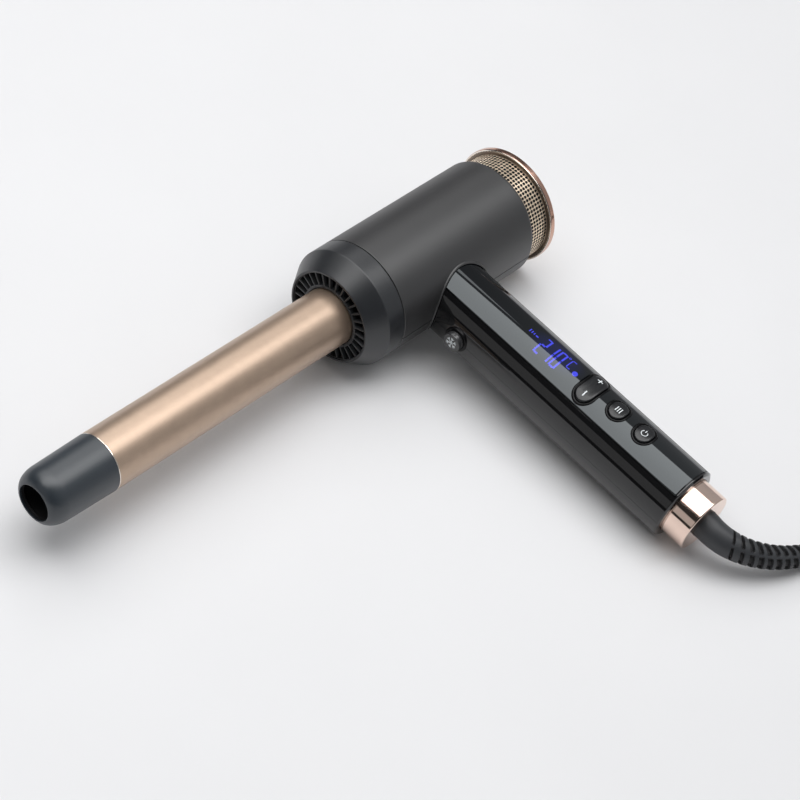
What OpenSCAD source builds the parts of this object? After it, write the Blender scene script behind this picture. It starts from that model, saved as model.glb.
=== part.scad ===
// Hot-air curling wand: a hair-dryer body with a pull-off wand attachment, lying on its side.
// Device axes: X along the head with the barrel towards -X, the handle runs towards -Y, and the
// controls face +Z. Distances along the handle are counted from the head's axis.
// place() lays the finished device down on its head and on the end of its handle.

/* [Barrel and tip] */
// Outside diameter of the barrel and its tip
barrel_d = 32; // [30:0.5:34]
// Length of barrel between the collar's mouth and the tip cap
barrel_len = 161.4; // [130:1:180]
// Wall of the barrel tube
barrel_wall = 1.2; // [1:0.1:1.6]
// Length of the tip cap
tip_len = 41; // [30:1:50]
// Outlet hole in the tip cap
tip_hole_d = 19.9; // [16:0.1:21]
// Diameter of the tip cap where its front edge starts to round off
tip_end_d = 30.6; // [29:0.1:31.8]
// Rounding of the tip cap's front edge
tip_round = 5; // [3:0.2:5.6]

/* [Head] */
// Outside diameter of the head and the collar
head_d = 66.6; // [65:0.2:70]
// Wall of the head's two shells
head_wall = 2.4; // [2:0.1:2.8]
// Length of head in front of the handle's axis
head_front = 45.1; // [43:0.1:50]
// Length of head behind the handle's axis
head_rear = 58.5; // [58:0.5:66]
// Rounding of the head's rear edge
head_round = 2.6; // [1.5:0.1:2.8]
// Coupling magnets on each side of the head's joint
magnet_count = 8; // [6:1:10]

/* [Collar] */
// Length of the collar's cylindrical part
collar_band = 11.4; // [9:0.2:14]
// Length of the collar's cone
collar_cone = 11; // [9:0.5:13]
// Outside diameter of the collar's mouth
mouth_d = 52.9; // [50:0.1:56]
// Wall of the collar
collar_wall = 1.8; // [1.4:0.1:2.2]
// Radial slots round the barrel
vent_slots = 30; // [20:1:36]
// Width of the ribs between the slots
rib_w = 1.1; // [0.8:0.1:1.6]

/* [Intake filter] */
// Step from the head's surface down to the perforated band
band_step = 3; // [2.4:0.2:4]
// Visible length of the perforated band
filter_band = 13.7; // [10:0.1:18]
// Columns of holes round the band
hole_columns = 44; // [24:1:52]
// Rows of holes along the band
hole_rows = 4; // [2:1:4]
// Thickness of the rose end band
rose_len = 3.6; // [2.5:0.1:5]

/* [Handle] */
// Outside diameter of the handle
handle_d = 42; // [41:0.2:44]
// Length of the handle, from the head's axis to its end
handle_len = 195.5; // [190:0.5:215]
// Wall of the handle's shells
handle_wall = 2.4; // [2:0.1:2.6]
// Width of the control panel
panel_w = 26.4; // [25:0.2:28]
// Thickness of the control panel
panel_t = 1.3; // [1:0.1:1.5]
// Visible joint between the panel and the shell
panel_gap = 0.5; // [0.3:0.1:0.8]
// Length of the rose ring beyond the handle
end_ring_len = 14.5; // [10:0.5:20]
// Outside diameter of the rose ring
end_ring_d = 33.8; // [32:0.2:34.6]

/* [Controls] */
// Centre of the power button, back from the handle's end
power_back = 36.5; // [34:0.5:40]
// Step from the power button back to the mode button
mode_step = 18.2; // [17:0.2:20]
// Step from the mode button back to the temperature rocker
rocker_step = 18.4; // [17:0.2:20]
// Length of the rocker across the handle
rocker_len = 22; // [19:0.5:22]
// Width of the rocker along the handle
rocker_w = 9.8; // [9:0.2:10]
// Length of each button across the handle
button_len = 12; // [10.6:0.2:12.4]
// Width of each button along the handle
button_w = 9.4; // [8.4:0.2:9.8]
// How far the rocker and the buttons stand proud
button_rise = 0.6; // [0.4:0.1:0.8]
// Travel of the mode and power buttons
button_travel = 0.6; // [0.4:0.1:0.7]
// Tilt of the rocker each way, in degrees
rocker_tilt = 2.5; // [1.5:0.5:3]
// Centre of the cool-shot button
cool_at = 50; // [46:0.5:54]
// Diameter of the cool-shot button
cool_d = 10; // [9:0.5:10.5]
// How far the cool-shot button stands out
cool_rise = 4; // [3:0.2:5]
// Travel of the cool-shot button
cool_travel = 1.5; // [1:0.1:2]

/* [Display] */
// Step from the rocker back to the display's centre
display_step = 27.9; // [27:0.1:30]
// Height of the lit digits, across the handle
digit_h = 12.8; // [10:0.2:14]
// Width of one digit
digit_w = 4.3; // [3.8:0.1:4.8]
// Stroke of the digits
digit_stroke = 0.8; // [0.6:0.1:1]

/* [Cord] */
// Diameter of the mains cord
cord_d = 7.5; // [7:0.1:8]
// Diameter of the strain relief at the handle
relief_d = 16; // [14:0.2:16.4]
// Diameter of the strain relief at its thin end
relief_end_d = 10; // [9.5:0.1:11]
// Middle diameter of the stored coil
coil_d = 82; // [78:1:86]
// Width of the coil's bundle of turns
coil_w = 30; // [28:1:32]
// Height of the coil's bundle of turns
coil_h = 22; // [20:1:23]

/* [Hidden] */
$fn = 64;

// Clearances shared by everything that meets
part_gap = 0.3;       // between pieces that move against each other
slide_gap = 0.5;      // round a piece that is pulled off
shaft_gap = 0.05;     // running fit of the fan's shaft
over = 0.5;           // how far a cut runs past what it cuts

// Radii
barrel_r = barrel_d / 2;
barrel_in_r = barrel_r - barrel_wall;
barrel_neck_r = barrel_r - barrel_wall / 3;
head_r = head_d / 2;
head_in_r = head_r - head_wall;
handle_r = handle_d / 2;
handle_in_r = handle_r - handle_wall;
mouth_r = mouth_d / 2;
filter_r = head_r - band_step;
end_ring_r = end_ring_d / 2;
power_at = handle_len - power_back;
mode_at = power_at - mode_step;
rocker_at = mode_at - rocker_step;
display_at = rocker_at - display_step;
cord_r = cord_d / 2;
cool_r = cool_d / 2;

// Places along the head
collar_rear_x = -head_front - part_gap;
cone_x = collar_rear_x - collar_band;
mouth_x = cone_x - collar_cone;
seam_x = mouth_x - barrel_len;
tip_x = seam_x - tip_len;
band_x = head_rear + part_gap;
flange_x = band_x + filter_band;
rear_x = flange_x + rose_len;

// Lying down: the head rolls until the handle's end touches the table too
end_chamfer = 1.4;
handle_foot = handle_len - end_chamfer;
rest_roll = asin(head_r / norm([handle_foot, handle_r])) - atan2(handle_r, handle_foot);
ring_end = handle_len + end_ring_len;
low_y = -ring_end * cos(rest_roll) - end_ring_r * sin(rest_roll);
shift_x = -(tip_x + rear_x) / 2;
shift_y = -(low_y + head_r) / 2;

// Wand attachment
tip_end_r = tip_end_d / 2;
tip_wall = 2.2;
tip_lip = 3;
tip_spigot = 8;
mouth_lip = 1.2;
mouth_in_r = mouth_r - mouth_lip;
cone_in_x = cone_x + 1;
socket_wall = 1.4;
socket_r = barrel_r + socket_wall;
socket_front = mouth_x + 2.6;
socket_rear = 8 - head_front;
barrel_rear = socket_rear - 1;
vent_t = 2.2;
vent_x = mouth_x + 0.8;
slot_in_r = socket_r + 0.6;
slot_out_r = mouth_in_r - 0.3;
spigot_wall = 1.4;
spigot_r = socket_r + 3.9;
spigot_len = 12;
back_t = 3;
fin_t = 1.4;
fin_count = 4;
fin_turn = 45;
magnet_d = 5;
magnet_t = 2.4;
magnet_ring_r = (spigot_r + slide_gap + head_in_r) / 2;
magnet_depth = 2.5;
tip_clear = 12;
collar_clear = 14;
heater_front = seam_x + tip_clear;
heater_rear = mouth_x - collar_clear;
heater_w = 1.25 * barrel_r;
heater_t = 3;
spreader_wall = 1.8;
thermostat = [10, 6, 2.6];
thermostat_back = 24;
thermostat_x = heater_rear - thermostat_back;
lead_r = 0.8;
lead_at = 5;
plug_front = -head_front + 3.1;
plug_t = 4;
pin_r = 1.2;
pin_ring_r = 5;
pin_count = 3;
pin_len = 5;
pin_end_gap = 0.4;
plug_gap = 0.6;

// Head
bore_r = spigot_r + slide_gap;
outlet_t = 5;
shield_r = head_r - 5.3;
shield_wall = 1;
socket_block_r = 9;
socket_block_x = plug_front + plug_t + plug_gap;
socket_block_len = 8.5;
frame_x = spigot_len - head_front + slide_gap;
frame_rear = 6;
frame_t = 1;
element_count = 5;
element_r = shield_r - 8;
element_w = 2;
element_t = 1.2;
fan_x = 12;
fan_rear = head_rear - 8.5;
fan_wall = 1.5;
fan_r = shield_r;
duct_r = fan_r - fan_wall;
motor_r = 10.5;
motor_wall = 1.3;
motor_x = 14;
motor_len = 18;
hub_wall = 1.2;
vane_count = 5;
vane_t = 1.4;
vane_len = 12;
vane_inset = 1;
bearing_t = 3;
bearing_r = 4;
shaft_r = 1.5;
shaft_front = motor_x - 1;
shaft_rear = fan_rear - 4;
stator_in_r = 6.5;
stator_len = 10.8;
rotor_r = 5.8;
rotor_len = 8;
hub_r = 9;
hub_len = 10;
hub_x = fan_rear - hub_len - 6;
blade_count = 7;
blade_t = 1.2;
blade_pitch = 40;
blade_gap = 0.5;
blade_len = 9;
seat_t = 3;
seat_in_r = head_in_r - 2.3;
seat_stop_r = seat_in_r - 1;

// Filter
frame_r = seat_in_r - slide_gap;
frame_wall = 1.4;
frame_front = fan_rear + seat_t + slide_gap;
frame_in_r = frame_r - frame_wall;
frame_rear_x = flange_x + 0.2;
band_t = 0.8;
hole_size = 1.7;
row_margin = 1.8;
lip_t = 1;
flange_t = 1;
flange_lip = 1;
grille_t = 1.6;
grille_recess = 0.4;
grille_x = rear_x - grille_recess - grille_t;
grille_sides = 6;
grille_rings = 5;
grille_hole_r = 1.3;
grille_pitch = 4.4;
foam_t = 4;
rose_t = 1;
rose_lip = 2.4;
rose_front_edge = 0.4;
rose_rear_edge = 0.8;

// Handle
root_trim_r = shield_r + 1.2;
neck_r = handle_r + 0.4;
neck_lip = 1.3;
neck_rise = 0.7;
end_wall = 2.5;
groove = 0.3;
panel_in_r = handle_r - panel_t;
ring_in_r = end_ring_r - 3;
ring_inner = 5.5;
panel_margin = 1.6;
boss_sink = 1;
ring_flange_t = 2.4;
ring_face_t = 2.4;
ring_chamfer = 0.8;
board_top = handle_r - 9.8;
board_t = 1.6;
board_start = display_at - 20.5;
board_end = power_at + 11;
switch_w = 5.6;
switch_h = 3.2;
stem_gap = 0.3;
bezel_w = 1.8;
bezel_rise = 0.35;
bezel_foot = handle_r - 7;
button_foot = board_top + switch_h + button_travel + stem_gap;
rocker_pivot_z = handle_r - 3.8;
rocker_foot_x = 5.6;
rocker_foot_w = 2;
rocker_core = 1;
rocker_pin_r = 0.8;
rocker_pin_in = 0.8;
rocker_drop = (rocker_foot_x + rocker_foot_w / 2) * sin(rocker_tilt);
display_w = 17;
display_len = 33;
display_top = panel_in_r - 1.8;
digit_pitch = digit_w + 1.2;
digit_depth = 0.35;
digit_break = 0.3;
digit_shift = 0.6;
digit_across = -1.7;
cool_bezel_w = 1.5;
cool_bezel_rise = 0.6;
cool_stop_t = 1;
cool_stop_w = 1;
cool_seat_x = 1 - handle_in_r;
cool_bore_x = 3 - handle_in_r;
cool_board_x = 9.2 - handle_r;
cool_board_t = 1.2;
cool_board_len = 9;
cool_switch_w = 5;
cool_switch_h = 2.4;
screw_r = 1.1;
screw_head_r = 2.4;
screw_head_t = 1.8;
screw_ats = [display_at - 28.5, power_at + 18];
boss_r = 3.2;
boss_depth = 12;
screw_recess = 6;
screw_short = 2;
wire_r = 0.9;
wire_lap = 8;
wire_z = board_top - board_t - wire_r;
harness_start = head_r - 6;
harness_out = -cool_board_x - 2.8;
harness_in = harness_out - 2.5;
harness_xs = [-harness_out, -harness_in, harness_in, harness_out];
mains_xs = [-6, 6];
clamp_start = handle_len - 13.1;
clamp_len = 7;
clamp_w = handle_r + 1;
clamp_screw_x = handle_r - 13;

// Cord, in the lying frame, measured from the point on the table under the head's axis
relief_flange_r = 8.7;
relief_flange_t = 0.4;
relief_join = 1.2;
relief_lock_r = 11;
relief_lock_t = 3;
relief_lock_at = ring_end - ring_face_t - relief_lock_t;
relief_sides = 16;
relief_route = [[0, -210.6, 19.9], [0, -217, 19.1], [1.6, -223.5, 17.8], [5.4, -230.4, 16],
    [11.5, -237.2, 13.8], [19.6, -243.6, 11.6], [29.2, -249, 9.6], [39.6, -253.2, 8],
    [50.4, -256.6, 6.8], [61.4, -259.4, 6]];
cord_route = [[61.4, -259.4, 6], [72, -261.5, 5.2], [83, -262.4, 4.5], [94, -261.8, 4.1],
    [104, -259.4, 3.9], [113, -255.8, 3.9], [121.1, -251.9, 3.9]];
coil_centre = [139, -301, 0];
tail_route = [[139, -248.8, 18], [152, -248.8, 17.2], [165, -248.6, 14.4], [178, -248.2, 10.8],
    [191, -247.6, 7.9], [204, -246.9, 7.2], [216, -246.3, 8.2], [227, -246, 9.4],
    [237, -246, 9.4]];
cord_sides = 10;
plug_centre = [262, -246, 0];
plug_w = 50;
plug_h = 48;
plug_body_t = 19;
plug_corner = 8;
plug_taper = 9;
blade_thick = 4;
earth_w = 8;
live_w = 6.35;
earth_out = 22.7;
live_out = 17.7;
blade_offset = 11.1;
stub_start = clamp_start - 1.2;

// ---- helpers ----

module place() {
    translate([shift_x, shift_y, head_r]) rotate([rest_roll, 0, 0]) children();
}

module on_table() {
    translate([shift_x, shift_y, 0]) children();
}

module rod_x(x0, x1, r) {
    translate([x0, 0, 0]) rotate([0, 90, 0]) cylinder(h = x1 - x0, r = r);
}

module tube_x(x0, x1, r_out, r_in) {
    difference() {
        rod_x(x0, x1, r_out);
        rod_x(x0 - over, x1 + over, r_in);
    }
}

module turn_x() {
    rotate([0, 90, 0]) rotate_extrude() children();
}

module rod_s(s0, s1, r) {
    translate([0, -s0, 0]) rotate([90, 0, 0]) cylinder(h = s1 - s0, r = r);
}

module tube_s(s0, s1, r_out, r_in) {
    difference() {
        rod_s(s0, s1, r_out);
        rod_s(s0 - over, s1 + over, r_in);
    }
}

// A block between two distances along the handle
module block_s(s0, s1, x0, x1, z0, z1) {
    translate([x0, -s1, z0]) cube([x1 - x0, s1 - s0, z1 - z0]);
}

// A slot with round ends, drawn at a distance along the handle and raised towards +Z
module oval(at, len, w, z0, z1) {
    translate([0, -at, z0]) linear_extrude(z1 - z0) union() {
        square([len - w, w], center = true);
        for (side = [-1, 1]) translate([side * (len - w) / 2, 0]) circle(d = w);
    }
}

module magnets(x0, t, d, count) {
    for (i = [0:count - 1])
        rotate([(i + 0.5) * 360 / count, 0, 0]) translate([0, magnet_ring_r, 0]) rod_x(x0, x0 + t, d / 2);
}

// Points along a round corner, from one angle to another
function arc(x, y, r, from, to, steps = 6) =
    [for (i = [0:steps]) let (a = from + (to - from) * i / steps) [x + r * cos(a), y + r * sin(a)]];

// A closed tube with flat ends, swept along a list of points
function unit(v) = v / norm(v);
function heading(p, i) = unit(p[min(i + 1, len(p) - 1)] - p[max(i - 1, 0)]);
function side_of(d) = unit(cross(d, [0, 0, 1]));
function ring_points(p, r, i, n) = let (d = heading(p, i), a = side_of(d), b = cross(a, d))
    [for (k = [0:n - 1]) p[i] + r * (cos(360 * k / n) * a + sin(360 * k / n) * b)];

module swept(p, r0, r1, n) {
    last = len(p) - 1;
    pts = [for (i = [0:last]) each ring_points(p, r0 + (r1 - r0) * i / last, i, n)];
    sides = [for (i = [0:last - 1], k = [0:n - 1])
        [i * n + k, i * n + (k + 1) % n, (i + 1) * n + (k + 1) % n, (i + 1) * n + k]];
    start_cap = [[for (k = [0:n - 1]) n - 1 - k]];
    end_cap = [[for (k = [0:n - 1]) last * n + k]];
    polyhedron(points = pts, faces = concat(sides, start_cap, end_cap));
}

// ---- wand attachment ----

module tip_cap() {
    color("#2b2f33") place() difference() {
        union() {
            turn_x() polygon(concat([[0, tip_x]],
                arc(tip_end_r - tip_round, tip_x + tip_round, tip_round, -90, 0, 8),
                [[barrel_r, seam_x], [0, seam_x]]));
            rod_x(seam_x, seam_x + tip_spigot, barrel_in_r);
        }
        rod_x(tip_x - over, tip_x + tip_lip + over, tip_hole_d / 2);
        rod_x(tip_x + tip_lip, seam_x + over, barrel_r - tip_wall);
        rod_x(seam_x - over, seam_x + tip_spigot + over, barrel_in_r - tip_wall);
    }
}

module barrel_tube() {
    color("#c9a983") place() difference() {
        union() {
            rod_x(seam_x, mouth_x, barrel_r);
            rod_x(mouth_x - over, barrel_rear, barrel_neck_r);
        }
        rod_x(seam_x - over, barrel_rear + over, barrel_in_r);
    }
}

module collar_shell() {
    color("#303236") place() turn_x() polygon([
        [head_r, collar_rear_x], [head_r, cone_x], [mouth_r, mouth_x], [mouth_in_r, mouth_x],
        [mouth_in_r, vent_x + vent_t], [head_r - collar_wall, cone_in_x],
        [head_r - collar_wall, collar_rear_x]]);
}

// How wide a slot is at a radius, when the ribs between the slots keep one width
function slot_w(r) = 2 * r * sin(180 / vent_slots) - rib_w;

module vent_ring() {
    inner = slot_w(slot_in_r) / 2;
    outer = slot_w(slot_out_r) / 2;
    color("#4a4c50") place() difference() {
        tube_x(vent_x, vent_x + vent_t, mouth_in_r, socket_r);
        for (i = [0:vent_slots - 1])
            rotate([(i + 0.5) * 360 / vent_slots, 0, 0]) translate([vent_x - over, 0, 0])
                rotate([90, 0, 90]) linear_extrude(vent_t + 2 * over) polygon([
                    [slot_in_r, -inner], [slot_out_r, -outer], [slot_out_r, outer], [slot_in_r, inner]]);
    }
}

module barrel_socket() {
    color("#3c3d40") place() {
        tube_x(socket_front, socket_rear, socket_r, barrel_neck_r);
        intersection() {
            tube_x(-head_front - back_t, socket_rear, spigot_r - spigot_wall, socket_r - over);
            for (i = [0:fin_count - 1])
                rotate([i * 360 / fin_count + fin_turn, 0, 0])
                    translate([-head_front - back_t, 0, -fin_t / 2])
                        cube([spigot_len + back_t, head_r, fin_t]);
        }
    }
}

module collar_back() {
    color("#242528") place() difference() {
        union() {
            tube_x(collar_rear_x - back_t, collar_rear_x, head_r - collar_wall, spigot_r - spigot_wall);
            tube_x(collar_rear_x - back_t, -head_front + spigot_len, spigot_r, spigot_r - spigot_wall);
        }
        magnets(collar_rear_x - magnet_depth, magnet_depth + over, magnet_d, magnet_count);
    }
}

module wand_magnets() {
    color("silver") place() magnets(collar_rear_x - magnet_depth, magnet_t, magnet_d, magnet_count);
}

module heat_spreaders() {
    color("#b8babd") place() for (flip = [0, 180]) rotate([flip, 0, 0]) difference() {
        intersection() {
            rod_x(heater_front, heater_rear, barrel_in_r);
            translate([heater_front, -barrel_r, heater_t / 2])
                cube([heater_rear - heater_front, barrel_d, barrel_r]);
        }
        intersection() {
            rod_x(heater_front - over, heater_rear + over, barrel_in_r - spreader_wall);
            translate([heater_front - over, -barrel_r, heater_t / 2 + spreader_wall])
                cube([heater_rear - heater_front + 2 * over, barrel_d, barrel_r]);
        }
    }
}

module barrel_heater() {
    color("#e8e2d2") place() translate([heater_front, -heater_w / 2, -heater_t / 2])
        cube([heater_rear - heater_front, heater_w, heater_t]);
}

module barrel_thermostat() {
    color("#d8d8d4") place()
        translate([thermostat_x, -thermostat[1] / 2, heater_t / 2 + spreader_wall]) cube(thermostat);
}

module heater_leads() {
    color("#c8502c") place() for (side = [-1, 1])
        translate([0, side * lead_at, 0]) rod_x(heater_rear, plug_front, lead_r);
}

module contact_plug() {
    color("#e6e2d6") place() rod_x(plug_front, plug_front + plug_t, barrel_in_r);
}

module contact_pins() {
    color("#d8b050") place() for (i = [0:pin_count - 1])
        rotate([i * 360 / pin_count, 0, 0]) translate([0, pin_ring_r, 0])
            rod_x(plug_front + plug_t, plug_front + plug_t + pin_len, pin_r);
}

// ---- head ----

module head_shell() {
    difference() {
        turn_x() polygon(concat(
            [[head_in_r, -head_front], [head_r, -head_front]],
            arc(head_r - head_round, head_rear - head_round, head_round, 0, 90),
            [[seat_in_r, head_rear], [seat_in_r, fan_rear + seat_t], [head_in_r, fan_rear + seat_t]]));
        rod_s(0, head_d, neck_r + neck_lip);
    }
}

// The half of space above or below the parting plane, as far as the head reaches
module head_half(z0) {
    translate([-head_front - over, -head_r - over, z0])
        cube([head_front + head_rear + 2 * over, head_d + 2 * over, head_d]);
}

module head_shell_upper() {
    color("#36373a") place() intersection() {
        head_shell();
        head_half(0);
    }
}

module head_shell_lower() {
    color("#36373a") place() intersection() {
        head_shell();
        head_half(-head_d);
    }
}

module neck_trim() {
    color("#3a3b3e") place() intersection() {
        tube_s(0, head_d, neck_r + neck_lip, neck_r);
        tube_x(-head_front, head_rear, head_r + neck_rise, head_in_r);
    }
}

module outlet_ring() {
    color("#28292c") place() difference() {
        tube_x(-head_front, -head_front + outlet_t, head_in_r, bore_r);
        magnets(-head_front - over, magnet_depth + over, magnet_d, magnet_count);
    }
}

module head_magnets() {
    color("silver") place() magnets(-head_front + magnet_depth - magnet_t, magnet_t, magnet_d, magnet_count);
}

module contact_socket() {
    color("#e6e2d6") place() difference() {
        rod_x(socket_block_x, socket_block_x + socket_block_len, socket_block_r);
        for (i = [0:pin_count - 1])
            rotate([i * 360 / pin_count, 0, 0]) translate([0, pin_ring_r, 0])
                rod_x(socket_block_x - over, socket_block_x + pin_len + pin_end_gap, pin_r + part_gap);
    }
}

module heat_shield() {
    color("#c4c0b4") place() tube_x(-head_front + outlet_t, fan_x, shield_r, shield_r - shield_wall);
}

module elements() {
    step = (frame_rear - frame_x) / (element_count + 1);
    for (i = [1:element_count])
        tube_x(frame_x + i * step, frame_x + i * step + element_t, element_r, element_r - element_w);
}

module heater_frame() {
    color("#d9cfa8") place() difference() {
        intersection() {
            rod_x(frame_x, frame_rear, shield_r - shield_wall);
            for (turn = [0, 90]) rotate([turn, 0, 0])
                translate([frame_x, -shield_r, -frame_t / 2])
                    cube([frame_rear - frame_x, 2 * shield_r, frame_t]);
        }
        rod_x(frame_x - over, socket_block_x + socket_block_len, socket_block_r);
        elements();
    }
}

module heating_elements() {
    color("#8c8f94") place() elements();
}

module fan_housing() {
    color("#2f3033") place() {
        tube_x(fan_x, fan_rear, fan_r, duct_r);
        tube_x(motor_x, motor_x + vane_len, motor_r + hub_wall, motor_r);
        intersection() {
            tube_x(motor_x - over, motor_x + vane_len + over, duct_r + over, motor_r + hub_wall / 2);
            for (i = [0:vane_count - 1])
                rotate([(i + 0.5) * 360 / vane_count, 0, 0]) translate([motor_x + vane_inset, 0, -vane_t / 2])
                    cube([vane_len - 2 * vane_inset, head_r, vane_t]);
        }
    }
}

module motor_can() {
    color("#9a9da2") place() difference() {
        rod_x(motor_x, motor_x + motor_len, motor_r);
        rod_x(motor_x + motor_wall, motor_x + motor_len - motor_wall, motor_r - motor_wall);
        rod_x(motor_x - over, motor_x + motor_len + over, bearing_r);
    }
}

module fan_bearings() {
    color("#c0c2c6") place() for (x = [motor_x, motor_x + motor_len - bearing_t])
        tube_x(x, x + bearing_t, bearing_r, shaft_r + shaft_gap);
}

module motor_stator() {
    color("#7c5a34") place() tube_x(motor_x + (motor_len - stator_len) / 2,
        motor_x + (motor_len + stator_len) / 2, motor_r - motor_wall, stator_in_r);
}

module rotor_magnet() {
    color("#55575c") place() tube_x(motor_x + (motor_len - rotor_len) / 2,
        motor_x + (motor_len + rotor_len) / 2, rotor_r, shaft_r);
}

module fan_shaft() {
    color("#d0d2d6") place() rod_x(shaft_front, shaft_rear, shaft_r);
}

module impeller() {
    color("#d8d8d2") place() {
        tube_x(hub_x, hub_x + hub_len, hub_r, shaft_r);
        intersection() {
            tube_x(hub_x, hub_x + hub_len, duct_r - blade_gap, hub_r - over);
            for (i = [0:blade_count - 1])
                rotate([i * 360 / blade_count, 0, 0]) translate([hub_x + hub_len / 2, 0, 0])
                    rotate([0, blade_pitch, 0]) translate([-blade_len / 2, 0, -blade_t / 2])
                        cube([blade_len, head_r, blade_t]);
        }
    }
}

module filter_seat() {
    color("#28292c") place() tube_x(fan_rear, fan_rear + seat_t, head_in_r, seat_stop_r);
}

// ---- intake filter ----

module filter_frame() {
    color("#2a2b2e") place() {
        tube_x(frame_front, frame_rear_x, frame_r, frame_in_r);
        tube_x(band_x, band_x + lip_t, filter_r - band_t, frame_r - over);
        tube_x(frame_rear_x - lip_t, frame_rear_x, filter_r - band_t, frame_r - over);
    }
}

module filter_band() {
    pitch = (filter_band - 2 * row_margin) / (hole_rows - 1);
    color("#bfa27c") place() difference() {
        tube_x(band_x, flange_x, filter_r, filter_r - band_t);
        for (i = [0:hole_columns - 1], k = [0:hole_rows - 1])
            rotate([(i + (k % 2) / 2) * 360 / hole_columns, 0, 0])
                translate([band_x + row_margin + k * pitch, filter_r - 2 * band_t, 0])
                    translate([-hole_size / 2, 0, -hole_size / 2])
                    cube([hole_size, 3 * band_t, hole_size]);
    }
}

module filter_flange() {
    color("#8d7b6a") place() difference() {
        tube_x(frame_rear_x, grille_x, head_r - rose_t, frame_in_r - flange_lip);
        rod_x(frame_rear_x + flange_t, rear_x, frame_r);
    }
}

module filter_rose_band() {
    color("#b97a62") place() turn_x() polygon([
        [head_r - rose_t, frame_rear_x], [head_r - rose_front_edge, frame_rear_x],
        [head_r, frame_rear_x + rose_front_edge], [head_r, rear_x - rose_rear_edge],
        [head_r - rose_rear_edge, rear_x], [head_r - rose_lip, rear_x],
        [head_r - rose_lip, grille_x], [head_r - rose_t, grille_x]]);
}

module rear_grille() {
    color("#b99c78") place() difference() {
        rod_x(grille_x, grille_x + grille_t, head_r - rose_lip);
        for (ring = [1:grille_rings], i = [0:grille_sides * ring - 1])
            rotate([i * 360 / (grille_sides * ring), 0, 0])
                translate([grille_x - over, ring * grille_pitch, 0])
                rotate([0, 90, 0]) cylinder(h = grille_t + 2 * over, r = grille_hole_r, $fn = 8);
    }
}

module filter_foam() {
    color("#1d1d1f") place() rod_x(frame_rear_x - foam_t, frame_rear_x, frame_in_r);
}

// ---- handle ----

module handle_tube() {
    difference() {
        union() {
            tube_s(0, handle_len - end_chamfer, handle_r, handle_in_r);
            tube_s(handle_len - end_wall, handle_len - end_chamfer, handle_r, end_ring_r + groove);
            difference() {
                translate([0, -handle_len + end_chamfer, 0]) rotate([90, 0, 0])
                    cylinder(h = end_chamfer, r1 = handle_r, r2 = handle_r - end_chamfer);
                rod_s(handle_len - 2 * end_wall, handle_len + over, end_ring_r + groove);
            }
        }
        rod_x(-head_front, head_rear, root_trim_r);
        translate([-head_d, 0, -head_d]) cube([2 * head_d, head_d, 2 * head_d]);
        translate([0, -cool_at, 0]) rod_x(-handle_d, cool_bore_x, cool_r + part_gap + cool_bezel_w);
    }
}

module boss(at, z0, z1) {
    translate([0, -at, z0]) cylinder(h = z1 - z0, r = boss_r);
}

// Openings the control bezels sit in
module control_openings(z0) {
    oval(rocker_at, rocker_len + 2 * bezel_w, rocker_w + 2 * bezel_w, z0, handle_d);
    for (at = [mode_at, power_at]) oval(at, button_len + 2 * bezel_w, button_w + 2 * bezel_w, z0, handle_d);
}

module handle_shell_upper() {
    color("#141416") place() difference() {
        intersection() {
            union() {
                handle_tube();
                for (at = screw_ats) boss(at, 0, handle_in_r + boss_sink);
            }
            block_s(0, handle_len, -handle_r, handle_r, 0, handle_r);
            rod_s(0, handle_len, handle_r);
        }
        difference() {
            block_s(0, handle_len - panel_margin, -panel_w / 2 - panel_gap, panel_w / 2 + panel_gap,
                0, handle_d);
            rod_s(-over, handle_len, panel_in_r);
        }
        for (at = screw_ats) translate([0, -at, -over]) cylinder(h = boss_depth + over, r = screw_r);
        block_s(display_at - display_len / 2, display_at + display_len / 2, -display_w / 2, display_w / 2,
            board_top, handle_d);
        control_openings(board_top);
    }
}

module handle_shell_lower() {
    color("#141416") place() difference() {
        intersection() {
            union() {
                handle_tube();
                for (at = screw_ats) boss(at, -handle_r, 0);
            }
            block_s(0, handle_len, -handle_r, handle_r, -handle_r, 0);
            rod_s(0, handle_len, handle_r);
        }
        for (at = screw_ats) {
            translate([0, -at, -handle_d]) cylinder(h = handle_d + over, r = screw_r + part_gap);
            translate([0, -at, -handle_r - over])
                cylinder(h = screw_recess + over, r = screw_head_r + part_gap);
        }
    }
}

module panel_body() {
    intersection() {
        difference() {
            tube_s(0, handle_len - panel_margin - panel_gap, handle_r, panel_in_r);
            rod_x(-head_front, head_rear, root_trim_r);
        }
        block_s(0, handle_len, -panel_w / 2, panel_w / 2, 0, handle_d);
    }
}

module control_panel() {
    color("#101012") place() difference() {
        panel_body();
        control_openings(0);
        lit_marks();
    }
}

module display_module() {
    half_len = display_len / 2 - part_gap;
    half_w = display_w / 2 - part_gap;
    color("#20222a") place()
        block_s(display_at - half_len, display_at + half_len, -half_w, half_w, board_top, display_top);
}

// One straight stroke of a digit: across is its place over the handle, along its place down it
module stroke(s0, s1, x0, x1) {
    block_s(s0, s1, x0, x1, board_top, handle_d);
}

// Seven strokes in the order top, upper right, lower right, bottom, lower left, upper left, middle
module digit(at, lit) {
    h = digit_h / 2;
    w = digit_w / 2;
    t = digit_stroke;
    if (lit[0]) stroke(at - w + t, at + w - t, h - t, h);
    if (lit[1]) stroke(at + w - t, at + w, digit_break, h - digit_break);
    if (lit[2]) stroke(at + w - t, at + w, -h + digit_break, -digit_break);
    if (lit[3]) stroke(at - w + t, at + w - t, -h, -h + t);
    if (lit[4]) stroke(at - w, at - w + t, -h + digit_break, -digit_break);
    if (lit[5]) stroke(at - w, at - w + t, digit_break, h - digit_break);
    if (lit[6]) stroke(at - w + t, at + w - t, -t / 2, t / 2);
}

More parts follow.
